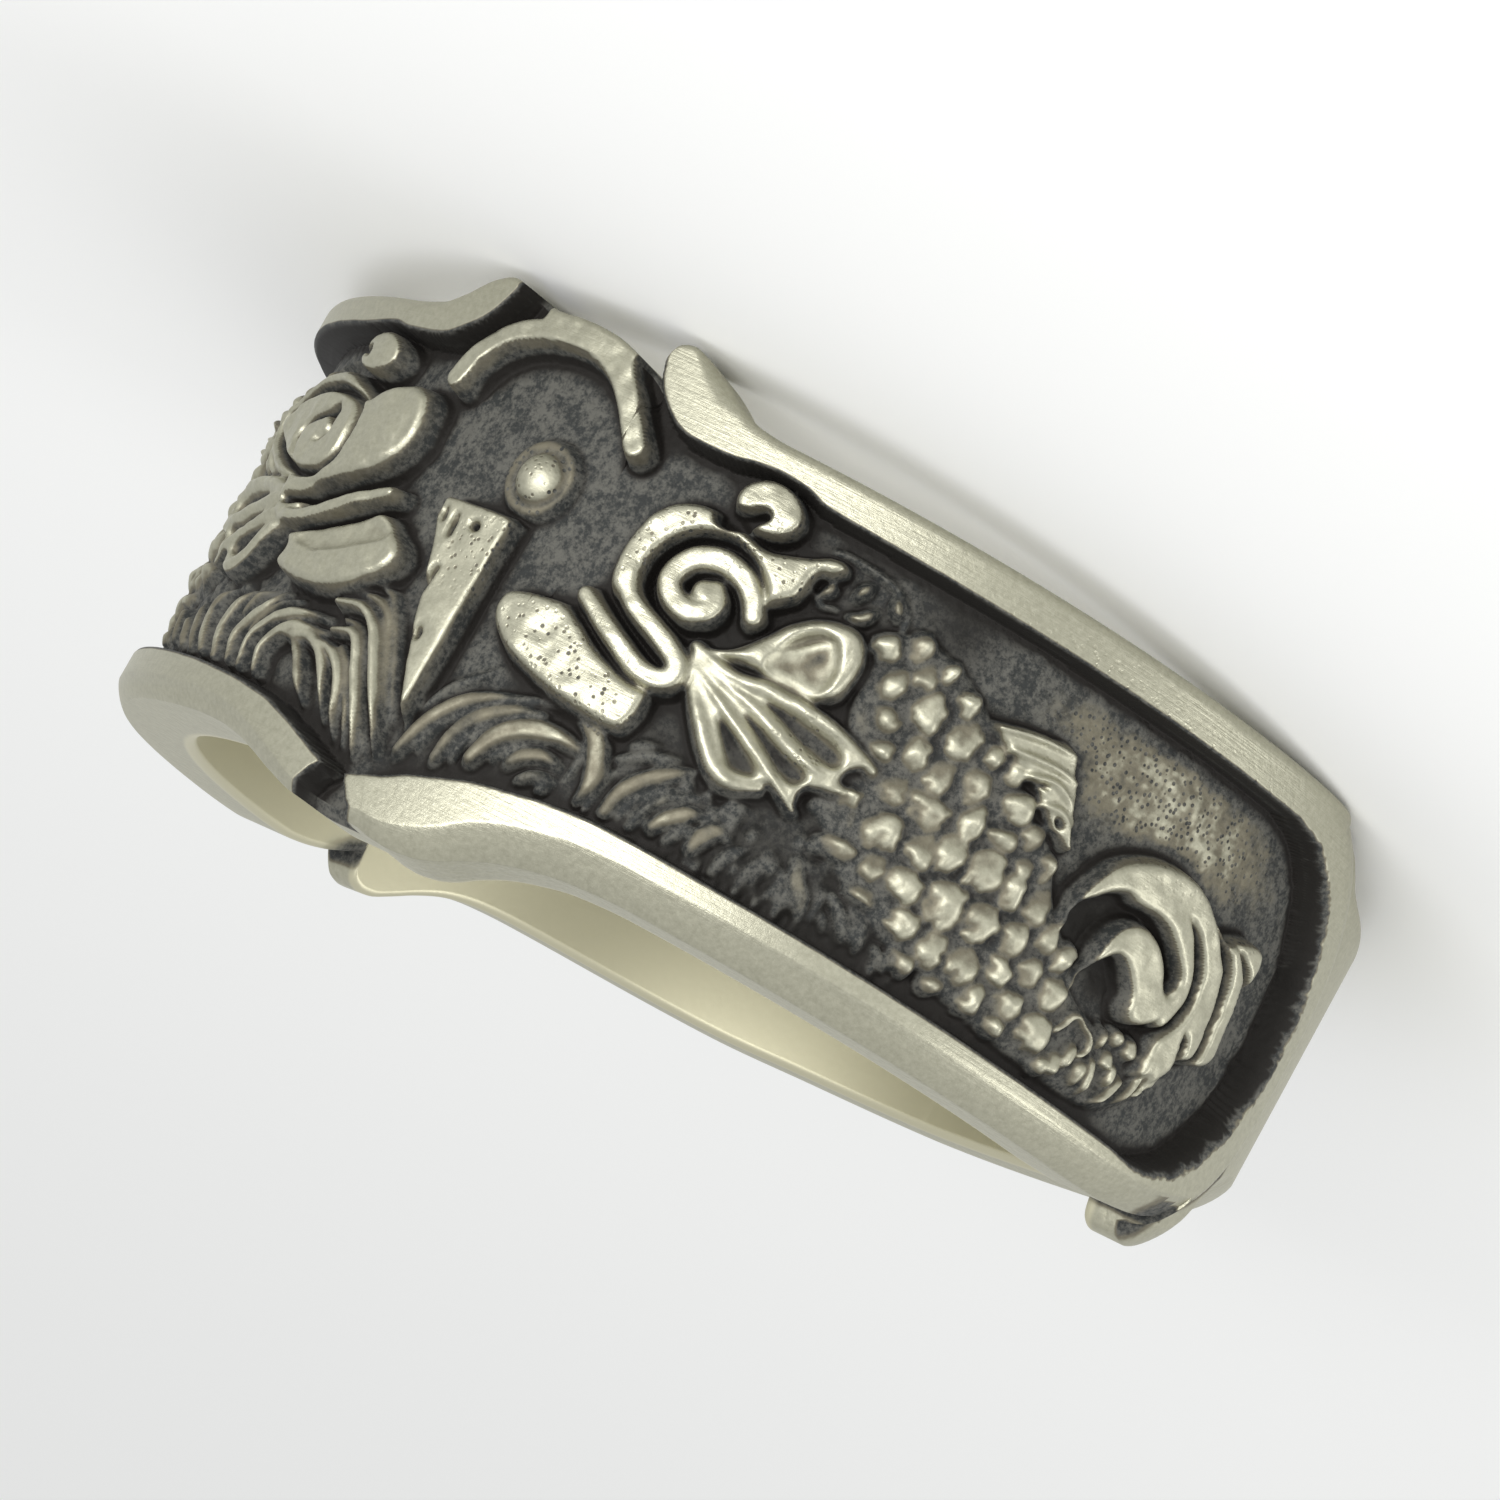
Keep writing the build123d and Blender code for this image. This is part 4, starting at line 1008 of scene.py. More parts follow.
def ground(along, rise):
    """Height of the sunken ground."""
    bumps = 0.03 * unevenness(along, rise, 0.5, 10) + 0.02 * unevenness(along, rise, 0.2, 11)
    bumps = bumps + 0.012 * unevenness(along, rise, 0.1, 12)
    choppy = np.clip((-1.2 - rise) / 0.4, 0, 1) * np.clip(np.abs(along) - 4.2, 0, 1)
    choppy = choppy * np.clip(11 - np.abs(along), 0, 1)
    return bumps + choppy * (0.07 + 0.13 * unevenness(along * 1.6, rise, 0.32, 14))


def field(along, rise):
    """Height of the worn motifs and the ground between them."""
    motifs = relief(along, rise)
    worn = 1 + 0.05 * unevenness(along, rise, 0.5, 5) + 0.03 * unevenness(along, rise, 0.2, 6)
    return np.maximum(np.where(motifs > bare_level, motifs * worn, motifs), ground(along, rise))


print("rails and plain hoop above the ground, mm:", round(rail_level, 2), round(hoop_level, 2))

# %% [markdown]
# The same places tell how far the polishing cloth reached: fully on the rails, well on high and gently
# sloped forms, hardly on the ground, and not at all beside the rails and in the corner behind the frame. The
# dark on steep walls, at the rails' inner edge and in the corners is black patina and painted shade
# together.
# A value of one is rubbed bright, nought is dark, and below nought is the thick black of the corners, patina
# and painted shade.

# %% Reach of the polishing cloth, with painted shade
cloth_from, cloth_depth = 0.09, 0.46     # heights above the ground that the cloth began and ended to reach
thick_black_spots = [  # place, size and strength
    (8.7, 2.75, 1.0, 0.3), (7.4, -2.2, 1.5, 0.3), (9.2, -2.5, 1.0, 0.25), (13.4, -0.2, 0.6, 0.45),
    (14.4, -0.9, 0.5, 0.45), (5.0, -1.3, 0.6, 0.3), (4.9, 0.9, 0.5, 0.3), (-6.0, -1.2, 0.9, 0.35),
]
pitted_spots = [
    (3.0, 1.4, 0.5, 1.0), (3.6, 2.4, 0.5, 1.0), (4.9, 2.3, 0.5, 1.0), (5.7, 2.5, 0.5, 1.0),
    (5.9, 2.0, 0.4, 1.0), (0.8, 1.9, 0.9, 1.0), (2.0, -0.6, 0.6, 1.0), (2.9, -0.8, 0.6, 1.0),
    (3.7, -1.1, 0.6, 1.0), (7.2, -0.2, 0.5, 1.0), (0.3, 0.2, 0.6, 1.0), (9.6, 2.7, 0.7, 1.0),
    (11.0, 2.8, 0.8, 1.0), (12.6, 2.3, 1.0, 1.0), (14.2, 2.3, 1.0, 1.0), (15.8, 2.2, 0.9, 1.0),
    (16.9, 1.5, 0.7, 1.0),
]


def patches(along, rise, spots, most):
    """Soft round patches, added up to a limit."""
    total = np.zeros(along.shape)
    for spot_along, spot_rise, size, strength in spots:
        total += strength * np.exp(-((along - spot_along) ** 2 + (rise - spot_rise) ** 2) / size ** 2)
    return np.clip(total, 0, most)


def field_cloth_and_shade(along, rise, height, steep, to_field, fray):
    """Reach of the cloth in the sunken field, with patina and painted shade on steep walls and at its edge.
    """
    # Steep walls are kept darker: black patina and painted shade on the walls.
    tops = np.clip((height - cloth_from) / cloth_depth, 0, 1) * np.clip((2.4 - steep) / 1.4, 0.35, 1)
    worn_ground = np.exp(-(np.abs((along - 14.0) / 3.4) ** 3) - np.abs((rise - 2.25) / 1.0) ** 3)
    # The last term darkens the ground at the foot of the rails: black patina and painted shade.
    missed_and_shaded = patches(along, rise, thick_black_spots, 0.5) + 0.22 * np.exp(-to_field / 0.25)
    reach_and_shade = tops + worn_ground * (0.6 + 0.12 * fray) - missed_and_shaded * (1 - tops)
    return np.clip(reach_and_shade, -0.5, 0.94)


def rails_cloth_and_edge_shade(along, to_field, fray):
    """Reach of the cloth on the frame: black frays out over its inner edge, most on the end bars, as patina
    and painted shade.
    """
    end = at_end(along)
    # The inner edge is kept dark, which is patina and painted shade in place of the edge's shine.
    on_rail = np.clip((to_field - 0.04 - end * (0.04 + 0.05 * fray)) / (0.1 + 0.12 * end), 0, 1)
    return 1.5 * on_rail - 0.5


def recess_cloth_and_shade(rise, to_frame):
    """Reach of the cloth behind the frame: it left out a corner, wider towards the upper edge, whose dark is
    patina and painted shade.
    """
    # The band beside the frame stays dark: black patina and painted shade in the corner.
    hidden = 0.22 + 1.0 * np.clip((rise + 3.4) / 1.2, 0, 1)
    recess = np.clip((to_frame - hidden) / 0.4, 0, 1) + 0.8 * np.clip((rise - 0.5) / 2.0, 0, 1)
    return np.clip(recess, 0, 1)


print("spots of thick black and of pits:", len(thick_black_spots), len(pitted_spots))

# %% [markdown]
# Height and reach are put together here for any grid of places on the outside. Only the front has to be
# worked out; the plain back is a smooth hoop that was rubbed all over.

# %% Outside of the band
def surface(along, rise):
    """Radius of the outside, and how far the polishing cloth got there, with painted shade on walls and in
    corners.
    """
    shape = along.shape
    flat_along, flat_rise = along.ravel(), rise.ravel()
    height = np.full(flat_along.shape, hoop_level)
    rubbed_and_shaded = np.ones(flat_along.shape)
    front = np.nonzero(np.abs(flat_along) < frame_reach)[0]
    if len(front):
        x, y = flat_along[front], flat_rise[front]
        in_frame, in_field = inside(x, y, frame_loop), inside(x, y, field_loop)
        to_frame, to_field = to_loop(x, y, frame_loop), to_loop(x, y, field_loop)
        drawn = field(x, y)
        height[front] = np.where(in_field, drawn, np.maximum(rails(x, y, to_field, to_frame), 0))
        height[front] = np.where(in_frame, height[front], hoop_level)
        rounded = blur(height.reshape(shape), 1, 1).ravel()
        height[front] = np.where(in_field & (to_field > 0.15), rounded[front], height[front])
        steep = steepness(height.reshape(shape), along, rise).ravel()[front]
        fray = unevenness(x, y, 0.07, 31) + unevenness(x, y, 0.3, 32)
        in_field_cloth_and_shade = field_cloth_and_shade(x, y, drawn, steep, to_field, fray)
        rubbed_and_shaded[front] = np.where(in_field, in_field_cloth_and_shade, rails_cloth_and_edge_shade(x, to_field, fray))
        rubbed_and_shaded[front] = np.where(in_frame, rubbed_and_shaded[front], recess_cloth_and_shade(y, to_frame))
    return ground_radius + height.reshape(shape), rubbed_and_shaded.reshape(shape)


_, probe_rubbed_and_shaded = surface(np.array([[9.0, 9.0], [9.1, 9.1]]), np.array([[2.8, 3.8], [2.8, 3.8]]))
print("cloth's reach on the ground and on the rail:", probe_rubbed_and_shaded[0].round(2))

# %% [markdown]
# The rims close each cross-section. An arris is the edge where two faces meet; here the outer one is round
# and the inner one, at the bore, is smaller. Beside the step of the lower edge the black also ran down over
# the rim, and that dark is painted shade there as well.

# %% Cross-sections
bore_soft = 0.16
rim_turn = np.linspace(0, math.pi / 2, rim_rows)[1:]
rim_hold = np.linspace(0, 1, 5)[1:-1]


def rim(radius, edge, height_round, sign, bevel):
    """Outer arris, flat rim and inner arris; the arris is round at a bevel of 1 and flatter above."""
    rounded = radius[:, None] - (height_round * 0.8)[:, None] * (1 - np.cos(rim_turn) ** bevel)
    level = edge[:, None] - sign * height_round[:, None] * (1 - np.sin(rim_turn) ** bevel)
    inner = bore_radius + bore_soft
    across = rounded[:, -1:] + (inner - rounded[:, -1:]) * rim_hold
    flat_level = np.repeat(edge[:, None], len(rim_hold), axis=1)
    soft = np.repeat((bore_radius + bore_soft * (1 - np.sin(rim_turn)))[None], len(radius), 0)
    soft_level = edge[:, None] - sign * bore_soft * (1 - np.cos(rim_turn))
    radii = np.hstack([rounded, across, np.full((len(radius), 1), inner), soft])
    return radii, np.hstack([level, flat_level, edge[:, None], soft_level])


def step_patina_and_shade(along, rise):
    """Black patina and painted shade on the rim beside the step of the lower edge, from 0 to 1."""
    into_step = np.abs(along) - np.where(along > 0, step_right, step_left)
    beside_step = np.clip((into_step + 1.3) / 0.8, 0, 1) * np.clip((0.12 - into_step) / 0.1, 0, 1)
    return beside_step[:, None] * np.clip((rise + 3.95) / 0.2, 0, 1) * (rise < -3.3)


def sections(along):
    """Rings of points (columns x loop x 3) in upright millimetres, with unrolled coordinates."""
    top, bottom = curve(top_rows, along), curve(bottom_rows, along)
    plain = np.clip((np.abs(along) - 18.5) / 2.5, 0, 1)
    top_round = curve(tip_round_rows, np.clip(along, -3.4, 5.0)) * (1 - plain) + hoop_round * plain
    low_round = curve(foot_round_rows, np.clip(along, -6.0, 6.0)) * (1 - plain) + low_hoop_round * plain
    levels = rows_between(bottom + low_round, top - top_round)
    outside, rubbed_and_shaded = surface(np.repeat(along[:, None], outer_rows, axis=1), levels)
    up_radii, up_levels = rim(outside[:, -1], top, top_round, 1, 1.0)
    low_radii, low_levels = rim(outside[:, 0], bottom, low_round, -1, 1.6)
    share = np.linspace(0, 1, bore_rows)[1:-1]
    bore_levels = up_levels[:, -1:] + (low_levels[:, -1:] - up_levels[:, -1:]) * share
    bore_radii = np.full(bore_levels.shape, bore_radius)
    radii = np.hstack([outside, up_radii, bore_radii, low_radii[:, ::-1]])
    rise = np.hstack([levels, up_levels, bore_levels, low_levels[:, ::-1]])
    # The reach holds black patina and also painted shade on walls, edges and corners.
    reach_and_shade = np.ones(radii.shape)
    reach_and_shade[:, :outer_rows] = rubbed_and_shaded
    reach_and_shade[:, outer_rows:outer_rows + rim_rows] = rubbed_and_shaded[:, -1:]
    reach_and_shade[:, 1 - rim_rows:] = rubbed_and_shaded[:, :1]
    # The rim beside the step is darkened: black patina and painted shade.
    reach_and_shade[:, outer_rows:] *= 1 - step_patina_and_shade(along, rise)[:, outer_rows:]
    along_all = np.repeat(along[:, None], radii.shape[1], axis=1)
    turn = np.repeat(along[:, None] / unroll, radii.shape[1], axis=1)
    points = np.stack([radii * np.sin(turn), -radii * np.cos(turn), rise], axis=-1)
    return points, np.stack([along_all, rise, radii], axis=-1), reach_and_shade


probe, _, _ = sections(np.array([0.0, 5.0, 10.0]))
print("points in one cross-section:", probe.shape[1])

# %% [markdown]
# Smooth light needs true normals. They come from a grid that runs past both ends of a slice, so that no seam
# shows. The same grid tells what lies in a hollow: each place is compared with the mean around it.

# %% Normals and hollows
full_round = 2 * half_round
extra = 18                           # columns past each end, for the normals and the blurs


def grid_normals(points):
    """Area-weighted normals of a grid whose rows close on themselves."""
    after = np.roll(points, -1, axis=1)
    faces = np.cross(points[1:] - after[:-1], after[1:] - points[:-1])
    normals = np.zeros_like(points)
    for part in (faces, np.roll(faces, 1, axis=1)):
        normals[:-1] += part
        normals[1:] += part
    return normals / (np.linalg.norm(normals, axis=-1, keepdims=True) + 1e-20)


def hollow_maps(radii):
    """How far each place stands out from its near surroundings, and from its wider ones."""
    fine, broad = np.zeros(radii.shape), np.zeros(radii.shape)
    outside = radii[:, :outer_rows]
    # Both maps later darken hollows and creases in the finish: black patina and painted shade.
    fine[:, :outer_rows] = outside - blur(blur(outside, 2, 2), 2, 2)
    broad[:, :outer_rows] = outside - blur(blur(outside, 8, 8), 8, 8)
    return fine, broad


print("all round, mm:", round(full_round, 2))

# %% [markdown]
# A slice is a tube of quads through its cross-sections, with a flat cap at each end, so it is closed by
# itself. Its edges stay smooth in the light, because the normals are set one by one.

# %% Mesh of a slice
def closed_mesh(name, points):
    """Tube of quads from columns of points, with a flat cap at each end, and its corners."""
    columns, rows = points.shape[:2]
    index = np.arange(columns * rows).reshape(columns, rows)
    here, after = index[:-1], np.roll(index[:-1], -1, axis=1)
    quads = np.stack([here, index[1:], np.roll(index[1:], -1, axis=1), after], axis=-1).reshape(-1, 4)
    corners = np.concatenate([quads.ravel(), index[0], index[-1][::-1]])
    starts = np.concatenate([np.arange(len(quads)) * 4, [len(quads) * 4, len(quads) * 4 + rows]])
    mesh = bpy.data.meshes.new(name)
    mesh.vertices.add(columns * rows)
    mesh.loops.add(len(corners))
    mesh.polygons.add(len(starts))
    mesh.vertices.foreach_set("co", place(points.reshape(-1, 3)).ravel())
    mesh.loops.foreach_set("vertex_index", corners.astype(np.int32))
    mesh.polygons.foreach_set("loop_start", starts.astype(np.int32))
    mesh.polygons.foreach_set("use_smooth", np.ones(len(starts), dtype=bool))
    mesh.update(calc_edges=True)
    return mesh, corners


def set_normals(mesh, normals, corners, first, last):
    """The grid's own normals outside, and those of the two cutting planes on the caps."""
    rows = normals.shape[1]
    corner_normals = (normals.reshape(-1, 3) @ turn_over)[corners]
    for begin, sign, along in ((len(corners) - 2 * rows, -1, first), (len(corners) - rows, 1, last)):
        angle = along / unroll
        cut = np.array([math.cos(angle), math.sin(angle), 0])
        corner_normals[begin:begin + rows] = sign * cut @ turn_over
    mesh.normals_split_custom_set(corner_normals)


print("quads between two cross-sections:", probe.shape[1])

# %% [markdown]
# The ring is built as slices that meet in planes through its axis. Columns stand close together in front,
# where the relief is, and wide apart at the back, and a few more mark the notch and the two steps. At its
# points each slice carries what the finish needs to know.

# %% Slices of the ring
def slice_mesh(name, stops):
    """One closed slice of the ring with its normals and the attributes that the finish reads."""
    before = stops[0] - (stops[1] - stops[0]) * np.arange(extra, 0, -1)
    beyond = stops[-1] + (stops[-1] - stops[-2]) * np.arange(1, extra + 1)
    along = np.concatenate([before, stops, beyond])
    wrapped = (along + half_round) % full_round - half_round
    points, sheet, rubbed_and_shaded = sections(wrapped)
    fine, broad = hollow_maps(sheet[..., 2])
    keep = slice(extra, -extra)
    mesh, corners = closed_mesh(name, points[keep])
    set_normals(mesh, grid_normals(points)[keep], corners, wrapped[extra], wrapped[-extra - 1])
    sheet = sheet[keep]
    pitted = patches(sheet[..., 0], sheet[..., 1], pitted_spots, 1)
    marks = {"fine": fine[keep], "broad": broad[keep], "rubbed_and_shaded": rubbed_and_shaded[keep], "pitted": pitted}
    for label, values in marks.items():
        attribute = mesh.attributes.new(label, "FLOAT", "POINT")
        attribute.data.foreach_set("value", values.ravel().astype(np.float32))
    unrolled = mesh.attributes.new("unrolled", "FLOAT_VECTOR", "POINT")
    unrolled.data.foreach_set("vector", sheet.reshape(-1, 3).ravel().astype(np.float32))
    return mesh


def stops_between(low, high, step, closer=()):
    """Even stops between two places, with some extra ones."""
    even = np.linspace(low, high, int(round((high - low) / step)) + 1)
    return np.unique(np.concatenate([even, [spot for spot in closer if low < spot < high]]).round(5))


panel_end = 21.0                     # where the front panels give way to the plain back
panel_step, back_step = 0.041, 0.15  # between columns
step_gaps = (-0.01, 0.0, 0.007, 0.014, 0.02, 0.03, 0.05)
notch_stops = (1.82, 1.835, 1.85, 1.87)
closer_stops = notch_stops + tuple(step_right + gap for gap in step_gaps)
closer_stops += tuple(-step_left - gap for gap in step_gaps)
slices = {
    "left_tail_side": stops_between(-panel_end, -10.5, panel_step, closer_stops),
    "left_head_side": stops_between(-10.5, 0.0, panel_step, closer_stops),
    "right_head_side": stops_between(0.0, 10.5, panel_step, closer_stops),
    "right_tail_side": stops_between(10.5, panel_end, panel_step, closer_stops),
    "plain_back": stops_between(panel_end, full_round - panel_end, back_step),
}
ring_pieces = []
for name, stops in slices.items():
    piece = bpy.data.objects.new(name, slice_mesh(name, stops))
    bpy.context.scene.collection.objects.link(piece)
    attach(piece, "root")
    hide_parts("band")
    ring_pieces.append(piece)
    print(name, "columns:", len(stops), "triangles:", 2 * len(piece.data.polygons))

# %% [markdown]
# The finish. Cast silver was darkened with sulphur and then rubbed with a polishing cloth. Whatever the
# cloth reached is pale silver with fine scratches; what it missed kept the black. Each point of the mesh
# carries what the shader needs: how far the cloth reached it, with painted shade on walls and in corners,
# how deep it lies below its near and its wider surroundings, which also places painted shade in hollows,
# how pitted the casting is there, and its place on the unrolled band.

# %% Material tools
def linear(colour):
    """sRGB hex to linear RGBA."""
    parts = [int(colour[i:i + 2], 16) / 255 for i in (1, 3, 5)]
    return [p / 12.92 if p <= 0.04045 else ((p + 0.055) / 1.055) ** 2.4 for p in parts] + [1.0]


def add(tree, kind, links=None, **settings):
    """A node with its settings, and links into its inputs."""
    node = tree.nodes.new("ShaderNode" + kind)
    for key, value in settings.items():
        setattr(node, key, value)
    for key, value in (links or {}).items():
        if isinstance(value, bpy.types.NodeSocket):
            tree.links.new(value, node.inputs[key])
        else:
            node.inputs[key].default_value = value
    return node


def ramp(tree, value, low, high, to_low=0.0, to_high=1.0):
    """Smooth step from one value to another."""
    span = {"Value": value, "From Min": low, "From Max": high, "To Min": to_low, "To Max": to_high}
    return add(tree, "MapRange", span, interpolation_type="SMOOTHSTEP").outputs["Result"]


def maths(tree, operation, first, second):
    """One arithmetic step."""
    return add(tree, "Math", {0: first, 1: second}, operation=operation).outputs[0]


def blend(tree, share, low, high):
    """Mix of two colours."""
    return add(tree, "Mix", {0: share, 6: low, 7: high}, data_type="RGBA").outputs[2]


def new_material(name):
    """Empty material with its shader and output."""
    material = bpy.data.materials.new(name)
    material.use_nodes = True
    tree = material.node_tree
    tree.nodes.clear()
    shader = add(tree, "BsdfPrincipled")
    add(tree, "OutputMaterial", {"Surface": shader.outputs["BSDF"]})
    return material, tree, shader


print("mid grey in linear light:", round(linear("#808080")[0], 3))

# %% [markdown]
# Sterling silver, cast in a mould made from a wax, blackened with sulphur and rubbed with a cloth and paste.
# That gives the eye three things: satin rails with scratches that run along the band, because a ring turns
# under the cloth; a warm grey between; and a cold, nearly black ground that hardly shines. The scratches are
# noise stretched forty times along the unrolled band.

# %% Darkened and rubbed silver
silver, tree, shader = new_material("darkened cast silver, rubbed")
fine = add(tree, "Attribute", attribute_name="fine").outputs["Fac"]
broad = add(tree, "Attribute", attribute_name="broad").outputs["Fac"]
rubbed_and_shaded = add(tree, "Attribute", attribute_name="rubbed_and_shaded").outputs["Fac"]
pitted = add(tree, "Attribute", attribute_name="pitted").outputs["Fac"]
unrolled = add(tree, "Attribute", attribute_name="unrolled").outputs["Vector"]
radius = add(tree, "SeparateXYZ", {0: unrolled}).outputs["Z"]
# The unrolled places are in millimetres, so each scale is a number of marks in a millimetre.
blotches_per_mm = 1.6                # clouds of tarnish, about 0.6 mm wide
speckles_per_mm = 9.0                # grains of the mould, about 0.1 mm
pits_per_mm = 8.0                    # gas pits of the casting, one in 0.12 mm where it is pitted
pebbles_per_mm = 7.0                 # stippling of the ground, about 0.14 mm
scratches_per_mm = 20.0              # real ones are 0.01 mm wide, too fine to show, so these are 0.05 mm
scratch_length = 40.0                # times their width
clouds = {"Vector": unrolled, "Scale": blotches_per_mm, "Detail": 5.0, "Roughness": 0.6}
blotch = add(tree, "TexNoise", clouds).outputs["Fac"]
grains = {"Vector": unrolled, "Scale": speckles_per_mm, "Detail": 3.0, "Roughness": 0.7}
speckle = add(tree, "TexNoise", grains).outputs["Fac"]
stretch = (scratches_per_mm / scratch_length, scratches_per_mm, scratches_per_mm)
stretched = add(tree, "VectorMath", {0: unrolled, 1: stretch}, operation="MULTIPLY").outputs[0]
lines = {"Vector": stretched, "Scale": 1.0, "Detail": 4.0, "Roughness": 0.7}
scratches = add(tree, "TexNoise", lines).outputs["Fac"]
holes = add(tree, "TexVoronoi", {"Vector": unrolled, "Scale": pits_per_mm}, feature="F1").outputs["Distance"]
pits = maths(tree, "MULTIPLY", ramp(tree, holes, 0.36, 0.16), pitted)

print("patterns are read from", len(tree.nodes), "nodes")

# %% [markdown]
# How bright the metal is: rubbed places, less in wide hollows, more on crests, uneven, and dark in pits. The
# darkening in hollows and small creases is black patina and painted shade together. The cloth never works
# evenly, so the clouds of tarnish shift the result up and down.

# %% Wear of the silver, with painted shade in hollows
# Wide hollows are darkened, such as the strip under the rails: black patina and painted shade.
clear_of_hollow_patina_and_shade = ramp(tree, broad, -0.16, -0.02)
uneven = maths(tree, "MULTIPLY", maths(tree, "SUBTRACT", blotch, 0.5), 0.55)
# Crests are rubbed brighter, and small creases darker, which is patina and painted shade.
crest = maths(tree, "MULTIPLY", ramp(tree, fine, -0.02, 0.02, -0.2, 0.12), rubbed_and_shaded)
# From here the wear value also holds the painted shade of hollows and creases.
worn = maths(tree, "ADD", maths(tree, "MULTIPLY", rubbed_and_shaded, clear_of_hollow_patina_and_shade), uneven)
worn = maths(tree, "ADD", worn, crest)
worn = ramp(tree, maths(tree, "SUBTRACT", worn, maths(tree, "MULTIPLY", pits, 0.6)), 0.05, 0.95)
# Creases and the feet of the motifs go nearly black: patina and painted shade.
crease_patina_and_shade = ramp(tree, maths(tree, "ADD", broad, maths(tree, "MULTIPLY", fine, 1.5)), -0.24, -0.06)
mottle = maths(tree, "ADD", maths(tree, "MULTIPLY", blotch, 0.4), maths(tree, "MULTIPLY", speckle, 0.6))
print("nodes up to the wear:", len(tree.nodes))

# %% [markdown]
# The colours run from the cold ground to the warm grey between and to the pale rubbed tops, with black in
# the corners and creases, which is patina and painted shade. The bore was never in the black for long: a
# finger keeps it bright and a little yellow.

# %% Colours of the silver
ground_tone = blend(tree, ramp(tree, mottle, 0.4, 0.6), linear("#2C2E2D"), linear("#5C5B55"))
between_tone = blend(tree, mottle, linear("#5E594C"), linear("#8B8675"))
rubbed_tone = blend(tree, speckle, linear("#969482"), linear("#BFBDAA"))
tone = blend(tree, ramp(tree, worn, 0.0, 0.45), ground_tone, between_tone)
tone = blend(tree, ramp(tree, worn, 0.4, 0.9), tone, rubbed_tone)
# Near black in creases: patina and painted shade.
tone = blend(tree, crease_patina_and_shade, linear("#16120D"), tone)
# Thick black where the reach is below nought: patina and painted shade on walls, edges and corners.
tone = blend(tree, ramp(tree, rubbed_and_shaded, -0.45, 0.0), linear("#17140F"), tone)
in_bore = maths(tree, "MULTIPLY", ramp(tree, radius, 9.75, 9.62), rubbed_and_shaded)
tone = blend(tree, in_bore, tone, linear("#C3BFA6"))
tree.links.new(tone, shader.inputs["Base Color"])
print("nodes up to the colours:", len(tree.nodes))

# %% [markdown]
# The black is a skin of silver sulphide, so it is less metallic and rougher than the rubbed silver. Only
# grain that is too fine for the mesh is left to the bump.

# %% Shine and grain of the silver
metal = maths(tree, "MAXIMUM", ramp(tree, worn, 0.0, 0.6, 0.35, 1.0), in_bore)
tree.links.new(metal, shader.inputs["Metallic"])
rough = maths(tree, "ADD", ramp(tree, worn, 0.0, 1.0, 0.62, 0.36), maths(tree, "MULTIPLY", speckle, 0.08))
rough = maths(tree, "ADD", rough, ramp(tree, radius, 11.1, 11.24, 0.09, 0.0))
tree.links.new(rough, shader.inputs["Roughness"])
grain = maths(tree, "MULTIPLY", scratches, ramp(tree, radius, 11.1, 11.24, 0.15, 0.6))
pebbles = add(tree, "TexVoronoi", {"Vector": unrolled, "Scale": pebbles_per_mm}, feature="SMOOTH_F1")
pebbles = pebbles.outputs["Distance"]
stippled = maths(tree, "MULTIPLY", pebbles, ramp(tree, radius, 10.8, 10.62, 0.0, 1.4))
surface_height = maths(tree, "ADD", grain, stippled)
surface_height = maths(tree, "ADD", surface_height, maths(tree, "MULTIPLY", speckle, 0.6))
surface_height = maths(tree, "SUBTRACT", surface_height, maths(tree, "MULTIPLY", pits, 1.2))
surface_height = maths(tree, "MULTIPLY", surface_height, ramp(tree, radius, 9.55, 10.0, 0.06, 1.0))
bump = add(tree, "Bump", {"Height": surface_height, "Strength": 0.35, "Distance": 0.00004})
tree.links.new(bump.outputs["Normal"], shader.inputs["Normal"])
for piece in ring_pieces:
    piece.data.materials.append(silver)
print("finish nodes:", len(tree.nodes))

# %% [markdown]
# The photo's camera, found from the ring's outline: it looks slightly up at the open front and is rolled by
# 29 degrees. The long distance keeps the near side from swelling.

# %% Camera
view_distance = 130.0
toward = np.array([
    math.sin(view_azimuth) * math.cos(view_elevation),
    -math.cos(view_azimuth) * math.cos(view_elevation),
    math.sin(view_elevation),
])
level = np.array([math.cos(view_azimuth), math.sin(view_azimuth), 0.0])
rise = np.cross(toward, level)
camera_x = math.cos(view_roll) * level + math.sin(view_roll) * rise
camera_y = -math.sin(view_roll) * level + math.cos(view_roll) * rise
camera_data = bpy.data.cameras.new("camera")
camera = bpy.data.objects.new("camera", camera_data)
bpy.context.scene.collection.objects.link(camera)
axes = np.stack([camera_x @ turn_over, camera_y @ turn_over, toward @ turn_over], axis=1)
pose = Matrix(axes.tolist()).to_4x4()
pose.translation = Vector(place(toward * view_distance))
camera.matrix_world = pose
pixels_per_mm, picture = 55.0498, 1500
ring_at = (759.844, 810.310)
camera_data.sensor_width = 36.0
camera_data.lens = camera_data.sensor_width * view_distance * pixels_per_mm / picture
camera_data.shift_x = (picture / 2 - ring_at[0]) / picture
camera_data.shift_y = (ring_at[1] - picture / 2) / picture
camera_data.clip_start = 0.005
bpy.context.scene.camera = camera
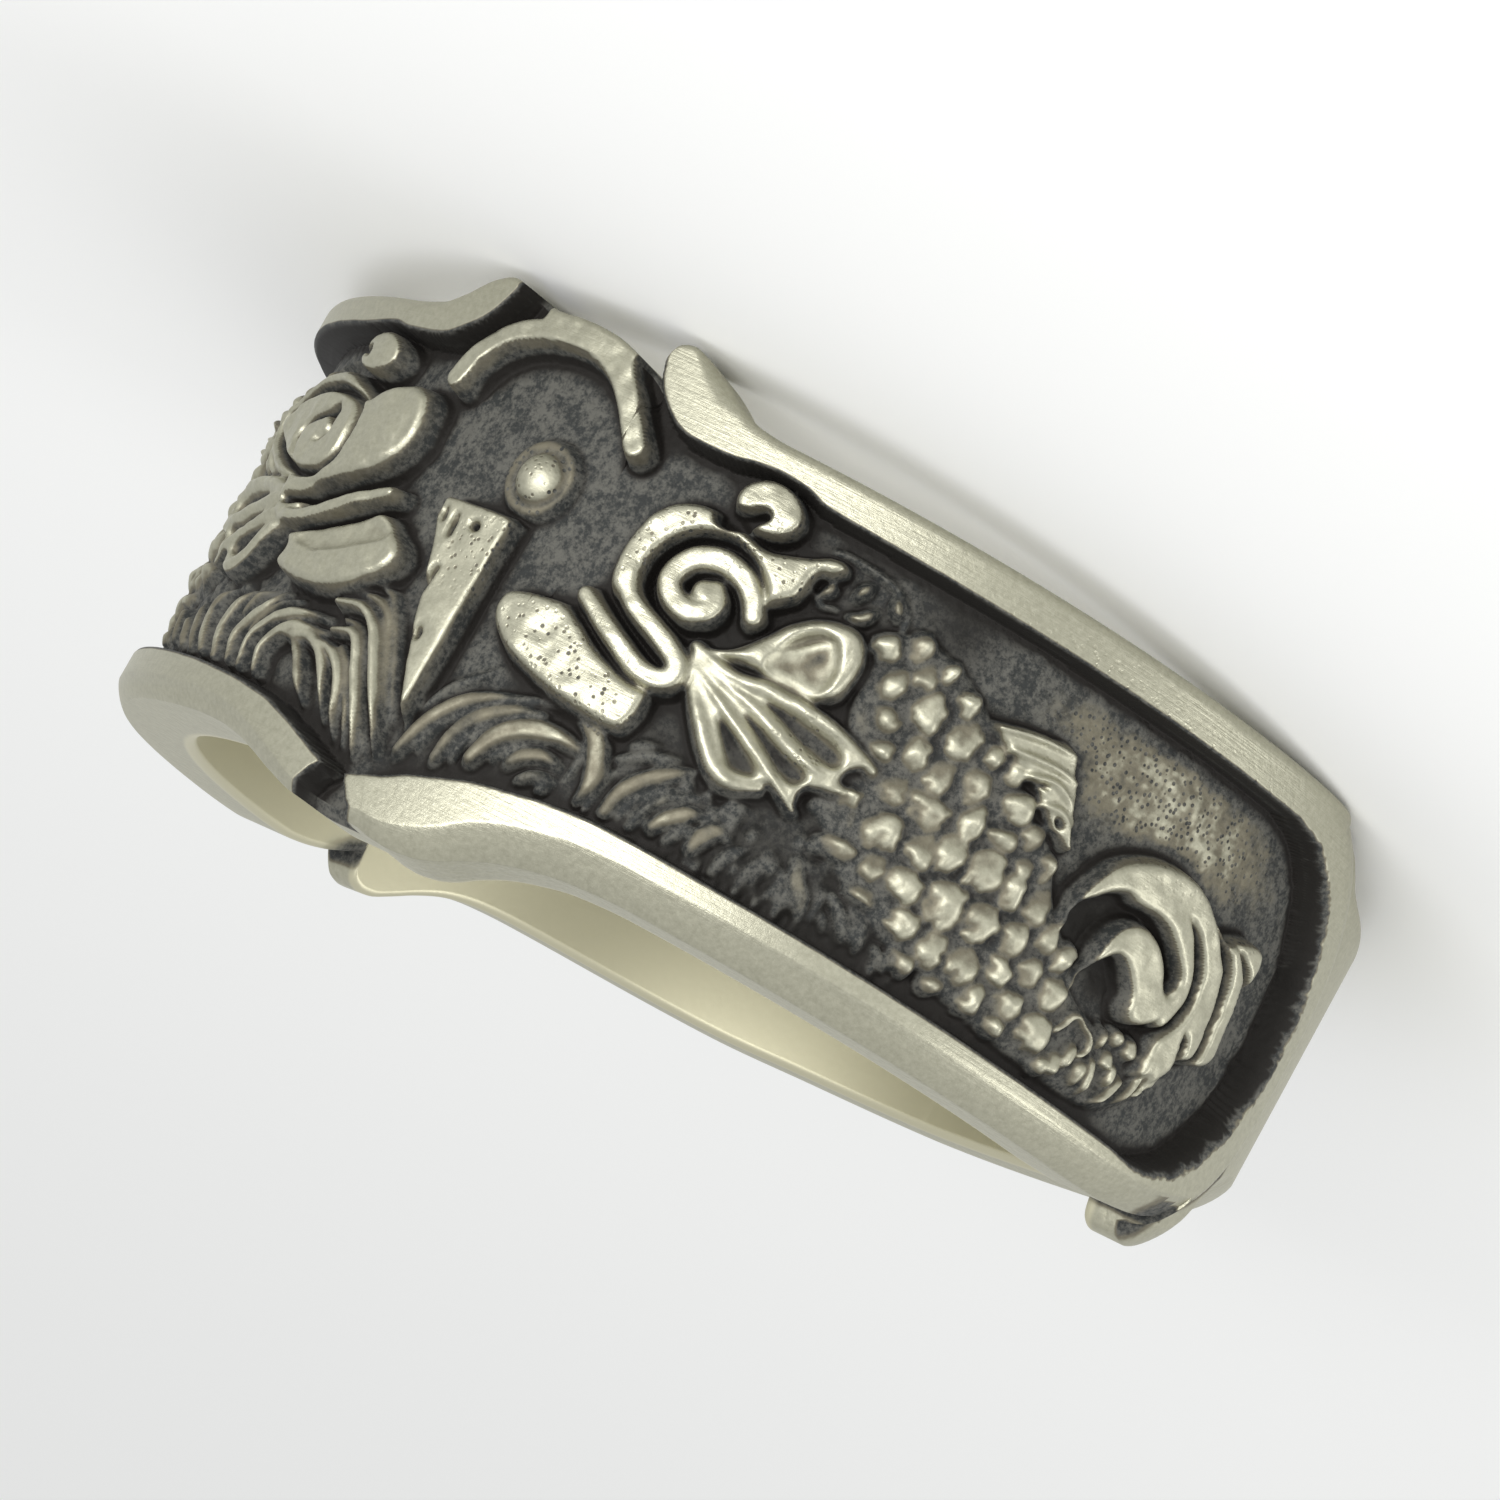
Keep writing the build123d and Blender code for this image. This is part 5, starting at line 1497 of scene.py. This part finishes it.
print("camera height above the floor, mm:", round(pose.translation.z * 1000, 1))

# %% [markdown]
# A pale floor of matt paper, level with the lowest point of the ring. It is much wider than the picture, so
# no edge of it is ever seen.

# %% Floor
floor_mesh = bpy.data.meshes.new("floor")
half_floor = 1.5
square = ((-1, -1), (1, -1), (1, 1), (-1, 1))
floor_corners = [(x * half_floor, y * half_floor, cad_low[2]) for x, y in square]
floor_mesh.from_pydata(floor_corners, [], [(0, 1, 2, 3)])
floor = bpy.data.objects.new("floor", floor_mesh)
bpy.context.scene.collection.objects.link(floor)
paper, _, paper_shader = new_material("white paper")
paper_shader.inputs["Base Color"].default_value = linear("#F4F4F2")
paper_shader.inputs["Roughness"].default_value = 0.9
floor_mesh.materials.append(paper)
print("floor, m:", 2 * half_floor)

# %% [markdown]
# Soft light. The big front light stands for the photographer's box, a weaker one lifts the right end, the
# world fills in the rest, and the floor throws light back up into the relief.

# %% Light
world = bpy.data.worlds.new("room")
world.use_nodes = True
background = world.node_tree.nodes["Background"]
background.inputs["Color"].default_value = linear("#F6F7F8")
background.inputs["Strength"].default_value = 0.9
bpy.context.scene.world = world


def panel_light(name, azimuth, height, distance_mm, wide_mm, tall_mm, watts):
    """Panel light facing the ring, placed by its direction round the upright ring and its height angle."""
    round_ring, lift = math.radians(azimuth), math.radians(height)
    flat = np.array([math.sin(round_ring), -math.cos(round_ring), 0.0]) @ turn_over
    direction = Vector(flat * math.cos(lift)) + Vector((0, 0, math.sin(lift)))
    data = bpy.data.lights.new(name, "AREA")
    data.shape = "RECTANGLE"
    data.size = wide_mm * MM
    data.size_y = tall_mm * MM
    data.energy = watts
    light = bpy.data.objects.new(name, data)
    bpy.context.scene.collection.objects.link(light)
    light.location = Vector(centre) + direction * distance_mm * MM
    light.rotation_euler = direction.to_track_quat("Z", "Y").to_euler()


panel_light("front_box", 13, 7, 160, 130, 40, 0.2)
panel_light("right_box", 105, 14, 180, 80, 50, 0.08)
bpy.context.scene.view_settings.view_transform = "Standard"
print("lights:", [light.name for light in bpy.data.lights])
